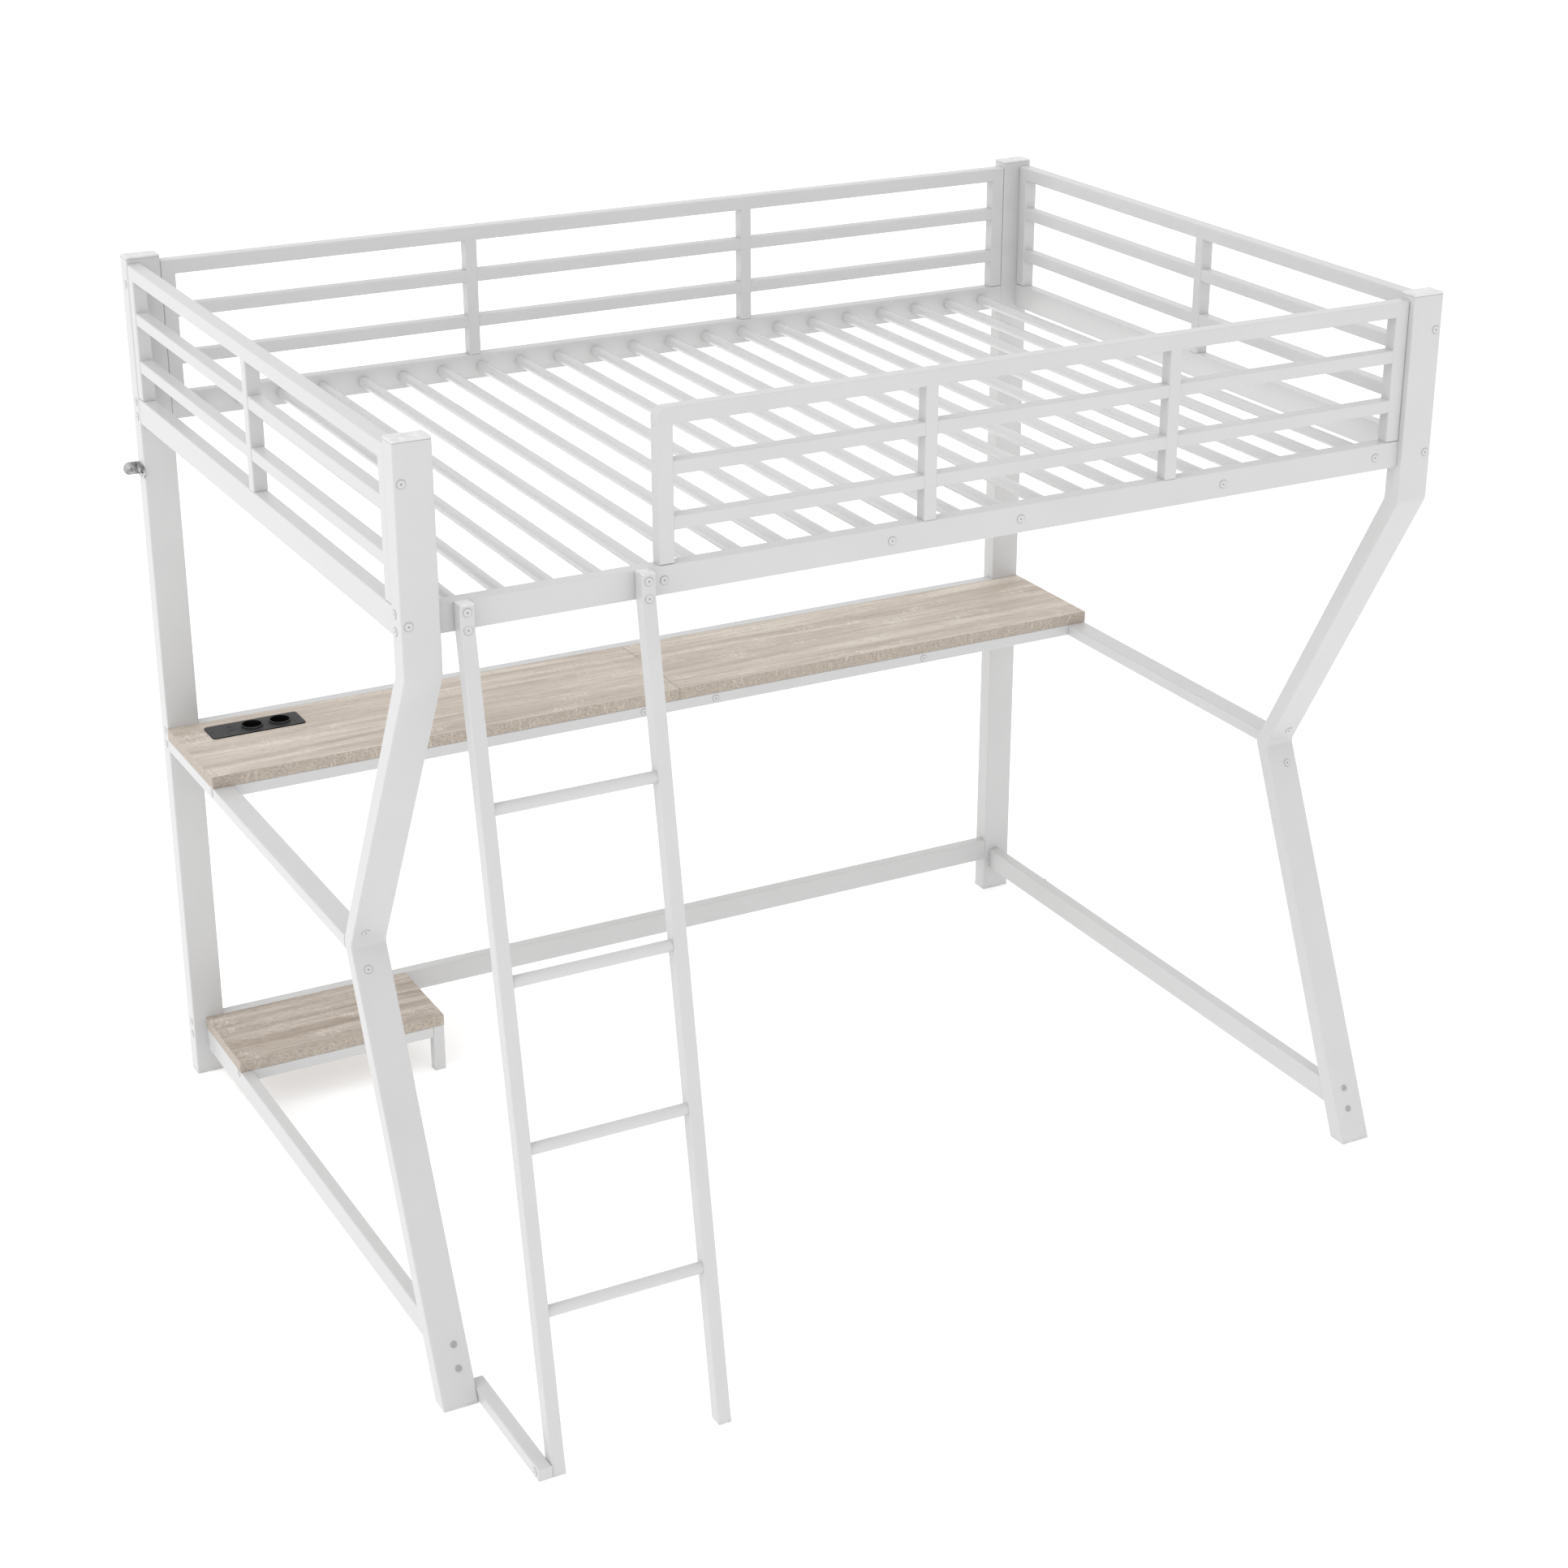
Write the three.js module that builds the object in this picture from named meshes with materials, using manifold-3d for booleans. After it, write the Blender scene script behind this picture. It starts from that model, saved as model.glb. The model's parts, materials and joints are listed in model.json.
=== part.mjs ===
// Loft bed with a desk, a low shelf and a leaning ladder, as an assembly of separate pieces.
// Units are millimetres. +X runs along the bed, +Y points to the wall side, +Z is up.
// The pieces are laid out from the left, front, bottom corner of the four posts, and the
// finished group is then moved so that its origin is the bottom centre of its whole box.

import * as THREE from 'three';
import { mergeVertices } from 'three/addons/utils/BufferGeometryUtils.js';
import Module from 'manifold-3d';

const wasm = await Module();
wasm.setup();

// ---------------------------------------------------------------- driving dimensions

// Overall frame, over the outer faces of the posts
const BED_LENGTH = 2080;
const BED_WIDTH = 1465;
const BED_HEIGHT = 1800;

// Clearances
const JOINT_GAP = 0.3; // between two pieces that touch
const SEAM_GAP = 0.8; // between the two desk boards
const PLUG_CLEARANCE = 0.4; // around a cap's plug inside its tube

// Tube stock
const TUBE_WALL = 1.2;
const TUBE_CORNER = 2.5;
const CORNER_STEPS = 3;
const FOOT_PLUG = 8; // plastic foot that closes each post's lower end

// Posts and the bent front legs
const POST_WIDTH = 67.5;
const POST_DEPTH = 41.5;
const CAP_THICKNESS = 3.5;
const CAP_PLUG_DEPTH = 12;
const STRAIGHT_BELOW_BED_RAIL = 67; // straight part of the leg under the bed rail
const KNEE_REACH = 347.5; // how far the knee stands behind the foot's front face
const KNEE_DEPTH = 35; // level depth of the leg at the knee, where it is pressed thinner
const KNEE_BELOW_DESK = 10; // knee under the desk boards' lower face
const BEND_LENGTH = 9; // each side of a bend's corner

// Bed rails
const BED_RAIL_BELOW_TOP = 281; // top of the bed rails below the top of the bed
const BED_RAIL_HEIGHT = 52;
const BED_RAIL_THICKNESS = 27.5;
const RAIL_INSET = 1; // from the posts' inner and end faces

// Guard rails
const GUARD_BELOW_TOP = 13;
const GUARD_FRAME_WIDTH = 29;
const GUARD_BAR_WIDTH = 25;
const GUARD_BAR_THICKNESS = 25;
const GUARD_BAR_LEVELS = [57, 152]; // lower faces of the two bars above the bed rail
const GUARD_CORNER = 18;
const GUARD_ENTRY = 463; // front guard starts here, past the ladder
const LONG_GUARD_UPRIGHTS = 2;
const END_GUARD_UPRIGHTS = 1;

// Slats
const SLAT_COUNT = 22;
const SLAT_DIAMETER = 22;
const FIRST_SLAT = 121; // centre of the first slat from the post's outer face
const SLAT_SIDES = 20;
const SLAT_BORE_SIDES = 10;

// Desk
const DESK_HEIGHT = 813;
const DESK_DEPTH = 294;
const BOARD_THICKNESS = 25;
const CROSS_TUBE = 25; // square tube of the desk's and shelf's frames
const DESK_BRACE_WIDTH = 44.5;
const DESK_BRACE_HEIGHT = 26;
const SEAM_SUPPORT_OFFSET = 86; // inner desk supports from the seam
const SUPPORT_PITCH = 523; // inner to outer desk support
const END_WALL = 3; // wall that closes a brace's cut end

// Rear rails of the desk and the floor, and the braces near the floor
const BACK_RAIL_HEIGHT = 50;
const BACK_RAIL_THICKNESS = 27;
const FLOOR_BRACE_INSET = 28;
const FLOOR_BRACE_WIDTH = 25;

// Shelf
const SHELF_HEIGHT = 132;
const SHELF_DEPTH = 230;
const SHELF_LENGTH = 460;

// Ladder
const FLOOR_BAR_WIDTH = 26.5; // between the left leg's side and the ladder's side
const LADDER_WIDTH = 348;
const LADDER_RAIL_WIDTH = 26;
const LADDER_RAIL_DEPTH = 28;
const LADDER_BELOW_RAIL = 2; // tube ends this far below the bed rail's top, under its cap
const LADDER_BEND_ABOVE_RAIL_FOOT = 14; // bend above the bed rail's lower face
const LADDER_FOOT_REACH = 265; // front of the ladder's feet before the legs' front faces
const RUNG_COUNT = 4;
const RUNG_DIAMETER = 22;
const RUNG_SIDES = 20;
const RUNG_BORE_SIDES = 10;

// Wall bracket
const BRACKET_HEIGHT = 1367;
const BRACKET_WIDTH = 26;
const BRACKET_POST_LEG = 48;
const BRACKET_WALL_LEG = 31.5;
const BRACKET_THICKNESS = 2.5;
const BRACKET_SLOT_WIDTH = 6.5;
const BRACKET_SLOT_LENGTH = 16;
const BRACKET_HOLE_WIDTH = 5.5;
const BRACKET_HOLE_LENGTH = 7.5;

// Power strip let into the left desk board
const STRIP_LENGTH = 200;
const STRIP_WIDTH = 68;
const STRIP_FLANGE = 2.2;
const STRIP_CORNER = 7;
const STRIP_FROM_END = 65.5;
const STRIP_FROM_BACK = 35;
const STRIP_LIP = 6; // flange beyond the housing
const STRIP_DEPTH = 40; // housing under the flange
const STRIP_CLEARANCE = 1;
const RIM_DIAMETER = 45.5;
const RIM_HEIGHT = 4; // above the flange
const RIM_TAB_WIDTH = 8;
const RIM_TAB_DEPTH = 2;
const RIM_TAB_BELOW_RIM = 1;
const RIM_TAB_CORNER = 1;
const WELL_DIAMETER = 42;
const WELL_DEPTH = 14;
const WELL_CENTRES = [93.5, 154]; // from the strip's left end
const WELL_SIDES = 32;

// ---------------------------------------------------------------- derived places

const rearPostFront = BED_WIDTH - POST_DEPTH;
const rightPostInner = BED_LENGTH - POST_WIDTH;
const postTop = BED_HEIGHT - CAP_THICKNESS;

const bedRailTop = BED_HEIGHT - BED_RAIL_BELOW_TOP;
const bedRailBottom = bedRailTop - BED_RAIL_HEIGHT;
const frontRailBack = POST_DEPTH - RAIL_INSET;
const frontRailFront = frontRailBack - BED_RAIL_THICKNESS;
const rearRailFront = rearPostFront + RAIL_INSET;
const legKink = bedRailBottom - STRAIGHT_BELOW_BED_RAIL;

const deskUnderside = DESK_HEIGHT - BOARD_THICKNESS;
const deskBack = rearPostFront - JOINT_GAP;
const deskFront = deskBack - DESK_DEPTH;
const kneeHeight = deskUnderside - KNEE_BELOW_DESK;

const shelfUnderside = SHELF_HEIGHT - BOARD_THICKNESS;
const shelfFront = deskBack - SHELF_DEPTH;
const shelfEnd = FLOOR_BRACE_INSET + SHELF_LENGTH;

// ---------------------------------------------------------------- finishes

const paint = new THREE.MeshStandardMaterial({ color: 0xe9e9e8, roughness: 0.45, metalness: 0.1 });
const oak = new THREE.MeshStandardMaterial({ color: 0xc2b5a6, roughness: 0.6, metalness: 0 });
const capPlastic = new THREE.MeshStandardMaterial({ color: 0xe2e2e1, roughness: 0.5, metalness: 0 });
const blackPlastic = new THREE.MeshStandardMaterial({ color: 0x1c1c1d, roughness: 0.4, metalness: 0 });
const zinc = new THREE.MeshStandardMaterial({ color: 0xb9bbbd, roughness: 0.25, metalness: 1 });

// ---------------------------------------------------------------- solids and meshes

// A closed geometry as a manifold solid.
function solidOf(geometry) {
  const bare = geometry.clone();
  bare.deleteAttribute('normal');
  bare.deleteAttribute('uv');
  const merged = mergeVertices(bare, 1e-4);
  return new wasm.Manifold(new wasm.Mesh({
    numProp: 3,
    vertProperties: new Float32Array(merged.attributes.position.array),
    triVerts: new Uint32Array(merged.index.array),
  }));
}

// A manifold solid as a geometry.
function geometryOf(solid) {
  const mesh = solid.getMesh();
  const geometry = new THREE.BufferGeometry();
  geometry.setAttribute('position', new THREE.BufferAttribute(mesh.vertProperties, 3));
  geometry.setIndex(new THREE.BufferAttribute(mesh.triVerts, 1));
  geometry.computeVertexNormals();
  return geometry;
}

// All the solids joined into one.
function joined(solids) {
  return solids.reduce((sum, solid) => sum.add(solid));
}

// A named mesh at a place in the bed's frame.
function piece(name, geometry, material, place = [0, 0, 0]) {
  const mesh = new THREE.Mesh(geometry, material);
  mesh.name = name;
  mesh.position.set(...place);
  return mesh;
}

// Rectangle from its centre, with rounded corners.
function roundedRectangle(width, height, corner) {
  const x = width / 2 - corner;
  const y = height / 2 - corner;
  const shape = new THREE.Shape();
  shape.absarc(x, y, corner, 0, Math.PI / 2);
  shape.absarc(-x, y, corner, Math.PI / 2, Math.PI);
  shape.absarc(-x, -y, corner, Math.PI, 1.5 * Math.PI);
  shape.absarc(x, -y, corner, 1.5 * Math.PI, 2 * Math.PI);
  shape.closePath();
  return shape;
}

// Plain rectangle from its centre.
function rectangle(width, height) {
  return new THREE.Shape([
    new THREE.Vector2(-width / 2, -height / 2),
    new THREE.Vector2(width / 2, -height / 2),
    new THREE.Vector2(width / 2, height / 2),
    new THREE.Vector2(-width / 2, height / 2),
  ]);
}

// Turns that carry an extrusion's section and length onto the bed's axes.
const turns = {
  x: new THREE.Matrix4().makeBasis(
    new THREE.Vector3(0, 1, 0), new THREE.Vector3(0, 0, 1), new THREE.Vector3(1, 0, 0)),
  y: new THREE.Matrix4().makeBasis(
    new THREE.Vector3(0, 0, 1), new THREE.Vector3(1, 0, 0), new THREE.Vector3(0, 1, 0)),
  z: new THREE.Matrix4(),
};

// Section sizes and length of a box that runs along an axis.
function sectionOf(along, low, high) {
  const size = high.map((value, axis) => value - low[axis]);
  if (along === 'x') return [size[1], size[2], size[0]];
  if (along === 'y') return [size[2], size[0], size[1]];
  return size;
}

// A section extruded between two corners, along an axis.
function prism(along, low, high, shape) {
  const length = sectionOf(along, low, high)[2];
  const geometry = new THREE.ExtrudeGeometry(shape, {
    depth: length, bevelEnabled: false, curveSegments: CORNER_STEPS,
  });
  geometry.translate(0, 0, -length / 2);
  geometry.applyMatrix4(turns[along]);
  const centre = low.map((value, axis) => (value + high[axis]) / 2);
  geometry.translate(...centre);
  return geometry;
}

// Solid bar with rounded edges between two corners.
function bar(along, low, high, corner = TUBE_CORNER) {
  const [width, height] = sectionOf(along, low, high);
  return prism(along, low, high, roundedRectangle(width, height, corner));
}

// The bore of a tube: its box taken in by the wall, with the ends where they are.
function bore(along, low, high) {
  const [width, height] = sectionOf(along, low, high);
  return prism(along, low, high, rectangle(width - 2 * TUBE_WALL, height - 2 * TUBE_WALL));
}

// Open tube between two corners, as one extrusion with its bore as a hole.
function tube(name, along, low, high) {
  const [width, height] = sectionOf(along, low, high);
  const shape = roundedRectangle(width, height, TUBE_CORNER);
  shape.holes.push(rectangle(width - 2 * TUBE_WALL, height - 2 * TUBE_WALL));
  return piece(name, prism(along, low, high, shape), paint);
}

// ---------------------------------------------------------------- bent tubes in the YZ plane

// The point where the line through p along d meets the line through q along e.
function crossing(p, d, q, e) {
  const cross = d.x * e.y - d.y * e.x;
  const t = ((q.x - p.x) * e.y - (q.y - p.y) * e.x) / cross;
  return new THREE.Vector2(p.x + t * d.x, p.y + t * d.y);
}

// An open path moved sideways, with its ends kept at their own heights.
function offsetPath(path, distance) {
  const level = new THREE.Vector2(1, 0);
  const legs = path.slice(1).map((end, i) => {
    const direction = end.clone().sub(path[i]).normalize();
    const side = new THREE.Vector2(direction.y, -direction.x).multiplyScalar(distance);
    return { direction, start: path[i].clone().add(side) };
  });
  const first = crossing(path[0], level, legs[0].start, legs[0].direction);
  const last = crossing(path.at(-1), level, legs.at(-1).start, legs.at(-1).direction);
  const corners = legs.slice(1).map((leg, i) => (
    crossing(legs[i].start, legs[i].direction, leg.start, leg.direction)));
  return [first, ...corners, last];
}

// Closed outline with rounded bends at the named corners.
function bentOutline(corners, rounded) {
  const shape = new THREE.Shape();
  corners.forEach((corner, i) => {
    const before = corners[(i + corners.length - 1) % corners.length];
    const after = corners[(i + 1) % corners.length];
    const into = before.clone().sub(corner).setLength(BEND_LENGTH).add(corner);
    const out = after.clone().sub(corner).setLength(BEND_LENGTH).add(corner);
    if (i === 0) {
      shape.moveTo(corner.x, corner.y);
    } else if (rounded.includes(i)) {
      shape.lineTo(into.x, into.y);
      shape.quadraticCurveTo(corner.x, corner.y, out.x, out.y);
    } else {
      shape.lineTo(corner.x, corner.y);
    }
  });
  shape.closePath();
  return shape;
}

// Outline of a bent tube between its front and back paths, moved outwards by a growth.
function bentSection(frontPath, backPath, growth) {
  const front = offsetPath(frontPath, -growth);
  const back = offsetPath(backPath, growth).reverse();
  const corners = [...front, ...back];
  const bends = corners.map((_, i) => i).filter((i) => (
    i !== 0 && i !== front.length - 1 && i !== front.length && i !== corners.length - 1));
  return bentOutline(corners, bends);
}

// A YZ outline extruded along +X from x = 0, with its long edges rounded.
function bentBar(shape, width, corner) {
  const geometry = new THREE.ExtrudeGeometry(shape, {
    depth: width - 2 * corner,
    bevelEnabled: corner > 0,
    bevelThickness: corner,
    bevelSize: corner,
    bevelOffset: -corner,
    bevelSegments: CORNER_STEPS,
    curveSegments: 4,
  });
  geometry.translate(0, 0, corner);
  geometry.applyMatrix4(turns.x);
  return geometry;
}

// ---------------------------------------------------------------- posts, legs and caps

// Rear post: a tube that is closed by its foot and open at the top.
function rearPost(name, left) {
  const low = [left, rearPostFront, 0];
  const high = [left + POST_WIDTH, BED_WIDTH, postTop];
  const hollow = bore('z', [low[0], low[1], FOOT_PLUG], [high[0], high[1], BED_HEIGHT]);
  const solid = solidOf(bar('z', low, high)).subtract(solidOf(hollow));
  return piece(name, geometryOf(solid), paint);
}

// One face of a front leg, from the foot over the knee and the kink to the top.
function legFace(y, kneeY, top) {
  return [
    new THREE.Vector2(y, 0),
    new THREE.Vector2(kneeY, kneeHeight),
    new THREE.Vector2(y, legKink),
    new THREE.Vector2(y, top),
  ];
}

// Outline of a front leg up to a height, moved outwards by a growth.
function legSection(top, growth) {
  const front = legFace(0, KNEE_REACH, top);
  const back = legFace(POST_DEPTH, KNEE_REACH + KNEE_DEPTH, top);
  return bentSection(front, back, growth);
}

// The space a front leg takes, grown by a clearance, as a solid.
function legSpace(left, clearance) {
  const shape = legSection(postTop, clearance);
  return solidOf(bentBar(shape, POST_WIDTH, 0)).translate([left, 0, 0]);
}

// Front leg: a tube bent forward at the knee, closed by its foot and open at the top.
function frontLeg(name, left) {
  const outer = bentBar(legSection(postTop, 0), POST_WIDTH, TUBE_CORNER);
  const inner = bentBar(legSection(BED_HEIGHT, -TUBE_WALL), POST_WIDTH - 2 * TUBE_WALL, 0);
  const foot = new THREE.BoxGeometry(2 * POST_WIDTH, BED_WIDTH, 2 * FOOT_PLUG);
  const hollow = solidOf(inner).translate([TUBE_WALL, 0, 0]).subtract(solidOf(foot));
  return piece(name, geometryOf(solidOf(outer).subtract(hollow)), paint, [left, 0, 0]);
}

// Plastic cap: a plate on the post's end with a plug that sits in the tube.
function postCap(name, left, front) {
  const plateLow = [left, front, postTop + JOINT_GAP];
  const plateHigh = [left + POST_WIDTH, front + POST_DEPTH, BED_HEIGHT];
  const inset = TUBE_WALL + PLUG_CLEARANCE;
  const plugLow = [left + inset, front + inset, postTop - CAP_PLUG_DEPTH];
  const plugHigh = [left + POST_WIDTH - inset, front + POST_DEPTH - inset, BED_HEIGHT - 1];
  const solid = solidOf(bar('z', plateLow, plateHigh)).add(solidOf(bar('z', plugLow, plugHigh)));
  return piece(name, geometryOf(solid), capPlastic);
}

function posts() {
  return [
    rearPost('rear_post_left', 0),
    rearPost('rear_post_right', rightPostInner),
    frontLeg('front_leg_left', 0),
    frontLeg('front_leg_right', rightPostInner),
    postCap('post_cap_front_left', 0, 0),
    postCap('post_cap_front_right', rightPostInner, 0),
    postCap('post_cap_rear_left', 0, rearPostFront),
    postCap('post_cap_rear_right', rightPostInner, rearPostFront),
  ];
}

// ---------------------------------------------------------------- bed rails and slats

const railStart = POST_WIDTH + JOINT_GAP;
const railEnd = rightPostInner - JOINT_GAP;
const endRailStart = POST_DEPTH + JOINT_GAP;
const endRailEnd = rearPostFront - JOINT_GAP;
const rightEndRail = BED_LENGTH - RAIL_INSET - BED_RAIL_THICKNESS;

function bedRails() {
  const rearRailBack = rearRailFront + BED_RAIL_THICKNESS;
  return [
    tube('bed_rail_front', 'x',
      [railStart, frontRailFront, bedRailBottom], [railEnd, frontRailBack, bedRailTop]),
    tube('bed_rail_rear', 'x',
      [railStart, rearRailFront, bedRailBottom], [railEnd, rearRailBack, bedRailTop]),
    tube('bed_rail_left', 'y',
      [RAIL_INSET, endRailStart, bedRailBottom],
      [RAIL_INSET + BED_RAIL_THICKNESS, endRailEnd, bedRailTop]),
    tube('bed_rail_right', 'y',
      [rightEndRail, endRailStart, bedRailBottom],
      [rightEndRail + BED_RAIL_THICKNESS, endRailEnd, bedRailTop]),
  ];
}

// Round tube along +Y from y = 0.
function roundTube(radius, sides, boreSides, length) {
  const shape = new THREE.Shape(circle(radius, sides));
  shape.holes.push(new THREE.Path(circle(radius - TUBE_WALL, boreSides)));
  const geometry = new THREE.ExtrudeGeometry(shape, { depth: length, bevelEnabled: false });
  geometry.applyMatrix4(turns.y);
  return geometry;
}

// Points evenly round a circle.
function circle(radius, sides) {
  return Array.from({ length: sides }, (_, i) => {
    const angle = (2 * Math.PI * i) / sides;
    return new THREE.Vector2(radius * Math.cos(angle), radius * Math.sin(angle));
  });
}

// Slats run from rail to rail, halfway up the bed rails.
function slats() {
  const start = frontRailBack + JOINT_GAP;
  const length = rearRailFront - JOINT_GAP - start;
  const pitch = (BED_LENGTH - 2 * FIRST_SLAT) / (SLAT_COUNT - 1);
  const height = (bedRailTop + bedRailBottom) / 2;
  const geometry = roundTube(SLAT_DIAMETER / 2, SLAT_SIDES, SLAT_BORE_SIDES, length);
  return Array.from({ length: SLAT_COUNT }, (_, i) => {
    const name = `slat_${String(i + 1).padStart(2, '0')}`;
    return piece(name, geometry, paint, [FIRST_SLAT + i * pitch, start, height]);
  });
}

// ---------------------------------------------------------------- guards

// Inverted U of a guard: two end uprights and the top rail, in the XZ plane.
function hoopShape(length, height, width, inset, leftCorner, foot) {
  const top = height - inset;
  const right = length - inset;
  const innerTop = height - width + inset;
  const shape = new THREE.Shape();
  shape.moveTo(inset, foot);
  shape.lineTo(inset, top - leftCorner);
  if (leftCorner > 0) {
    shape.absarc(inset + leftCorner, top - leftCorner, leftCorner, Math.PI, Math.PI / 2, true);
  }
  shape.lineTo(right, top);
  shape.lineTo(right, foot);
  shape.lineTo(length - width + inset, foot);
  shape.lineTo(length - width + inset, innerTop);
  shape.lineTo(width - inset, innerTop);
  shape.lineTo(width - inset, foot);
  shape.closePath();
  return shape;
}

// Stands an XY shape up in the XZ plane, extruded from y = 0 to y = thickness.
function standing(shape, thickness, corner) {
  const geometry = new THREE.ExtrudeGeometry(shape, {
    depth: thickness - 2 * corner,
    bevelEnabled: corner > 0,
    bevelThickness: corner,
    bevelSize: corner,
    bevelOffset: -corner,
    bevelSegments: CORNER_STEPS,
    curveSegments: 3,
  });
  geometry.translate(0, 0, corner);
  geometry.rotateX(Math.PI / 2);
  geometry.translate(0, thickness, 0);
  return geometry;
}

// Welded guard along +X: a hoop, inner uprights and two rows of bars, hollow and open at its feet.
function guardSolid(length, height, uprights, cornerRadius) {
  const thickness = BED_RAIL_THICKNESS;
  const barSetback = (thickness - GUARD_BAR_THICKNESS) / 2;
  const bay = (length - 2 * GUARD_FRAME_WIDTH - uprights * GUARD_BAR_WIDTH) / (uprights + 1);
  const middle = GUARD_FRAME_WIDTH / 2;
  const openFoot = -TUBE_WALL;

  const hoop = hoopShape(length, height, GUARD_FRAME_WIDTH, 0, cornerRadius, 0);
  const boreCorner = Math.max(0, cornerRadius - TUBE_WALL);
  const hoopBore = hoopShape(length, height, GUARD_FRAME_WIDTH, TUBE_WALL, boreCorner, openFoot);
  const steel = [solidOf(standing(hoop, thickness, TUBE_CORNER))];
  const hollow = [
    solidOf(standing(hoopBore, thickness - 2 * TUBE_WALL, 0)).translate([0, TUBE_WALL, 0]),
  ];

  for (let i = 0; i < uprights; i += 1) {
    const left = GUARD_FRAME_WIDTH + bay + i * (bay + GUARD_BAR_WIDTH);
    const right = left + GUARD_BAR_WIDTH;
    steel.push(solidOf(bar('z', [left, 0, 0], [right, thickness, height - middle])));
    hollow.push(solidOf(bore('z', [left, 0, openFoot], [right, thickness, height - middle])));
  }
  for (const level of GUARD_BAR_LEVELS) {
    const low = [middle, barSetback, level];
    const high = [length - middle, barSetback + GUARD_BAR_THICKNESS, level + GUARD_BAR_WIDTH];
    steel.push(solidOf(bar('x', low, high)));
    hollow.push(solidOf(bore('x', low, high)));
  }
  return joined(steel).subtract(joined(hollow));
}

function guards() {
  const foot = bedRailTop + JOINT_GAP;
  const height = BED_HEIGHT - GUARD_BELOW_TOP - foot;
  const frontLength = railEnd - GUARD_ENTRY;
  const rearLength = railEnd - railStart;
  const endLength = endRailEnd - endRailStart;
  const front = guardSolid(frontLength, height, LONG_GUARD_UPRIGHTS, GUARD_CORNER);
  const rear = guardSolid(rearLength, height, LONG_GUARD_UPRIGHTS, 0);
  const end = guardSolid(endLength, height, END_GUARD_UPRIGHTS, 0);
  const meshes = [
    piece('guard_front', geometryOf(front), paint, [GUARD_ENTRY, frontRailFront, foot]),
    piece('guard_rear', geometryOf(rear), paint, [railStart, rearRailFront, foot]),
  ];
  for (const [name, left] of [['guard_left', RAIL_INSET], ['guard_right', rightEndRail]]) {
    const place = [left + BED_RAIL_THICKNESS, endRailStart, foot];
    const mesh = piece(name, geometryOf(end), paint, place);
    mesh.rotation.z = Math.PI / 2;
    meshes.push(mesh);
  }
  return meshes;
}

// ---------------------------------------------------------------- desk

// Flat board between two corners, with an optional cut-out given as a hole in its outline.
function board(name, low, high, hole) {
  const [width, depth, thickness] = high.map((value, axis) => value - low[axis]);
  const shape = rectangle(width, depth);
  if (hole) {
    shape.holes.push(hole);
  }
  const geometry = new THREE.ExtrudeGeometry(shape, {
    depth: thickness, bevelEnabled: false, curveSegments: 2,
  });
  return piece(name, geometry, oak, [(low[0] + high[0]) / 2, (low[1] + high[1]) / 2, low[2]]);
}

// Rear rail between the rear posts, with its top flush with the board in front of it.
function backRail(name, top) {
  return tube(name, 'x',
    [railStart, rearPostFront, top - BACK_RAIL_HEIGHT],
    [railEnd, rearPostFront + BACK_RAIL_THICKNESS, top]);
}

// Tube along +Y from a bent leg to the rear post. Its front end follows the leg's back face
// and is closed by a wall. The other end is open.
function legBrace(name, legLeft, low, high) {
  const hollowEnd = [high[0], high[1] + 1, high[2]];
  const hollow = solidOf(bore('y', low, hollowEnd))
    .subtract(legSpace(legLeft, JOINT_GAP + END_WALL));
  const inFront = frontOfLeg((low[2] + high[2]) / 2);
  const brace = solidOf(bar('y', low, high))
    .subtract(hollow)
    .subtract(legSpace(legLeft, JOINT_GAP))
    .subtract(solidOf(inFront));
  return piece(name, geometryOf(brace), paint);
}

// Side brace of the desk, from the knee to the rear post.
function deskBrace(name, left, legLeft) {
  const top = deskUnderside - JOINT_GAP;
  return legBrace(name, legLeft,
    [left, 0, top - DESK_BRACE_HEIGHT],
    [left + DESK_BRACE_WIDTH, rearPostFront - JOINT_GAP, top]);
}

// Everything in front of a leg's middle line at a height up to the knee.
function frontOfLeg(height) {
  const reach = (KNEE_REACH * height) / kneeHeight + POST_DEPTH / 2;
  return new THREE.BoxGeometry(3 * BED_LENGTH, 2 * reach, 2 * BED_HEIGHT);
}

// Left desk board's cut-out for the power strip's housing, from the board's centre.
function stripCutout(boardLow, boardHigh) {
  const width = STRIP_LENGTH - 2 * STRIP_LIP + 2 * STRIP_CLEARANCE;
  const depth = STRIP_WIDTH - 2 * STRIP_LIP + 2 * STRIP_CLEARANCE;
  const x = STRIP_FROM_END + STRIP_LENGTH / 2 - (boardLow[0] + boardHigh[0]) / 2;
  const y = deskBack - STRIP_FROM_BACK - STRIP_WIDTH / 2 - (boardLow[1] + boardHigh[1]) / 2;
  return new THREE.Path([
    new THREE.Vector2(x - width / 2, y - depth / 2),
    new THREE.Vector2(x - width / 2, y + depth / 2),
    new THREE.Vector2(x + width / 2, y + depth / 2),
    new THREE.Vector2(x + width / 2, y - depth / 2),
  ]);
}

function deskBoards() {
  const seam = BED_LENGTH / 2;
  const leftLow = [0, deskFront, deskUnderside];
  const leftHigh = [seam - SEAM_GAP / 2, deskBack, DESK_HEIGHT];
  const rightLow = [seam + SEAM_GAP / 2, deskFront, deskUnderside];
  const rightHigh = [BED_LENGTH, deskBack, DESK_HEIGHT];
  return [
    board('desk_board_left', leftLow, leftHigh, stripCutout(leftLow, leftHigh)),
    board('desk_board_right', rightLow, rightHigh),
  ];
}

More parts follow.
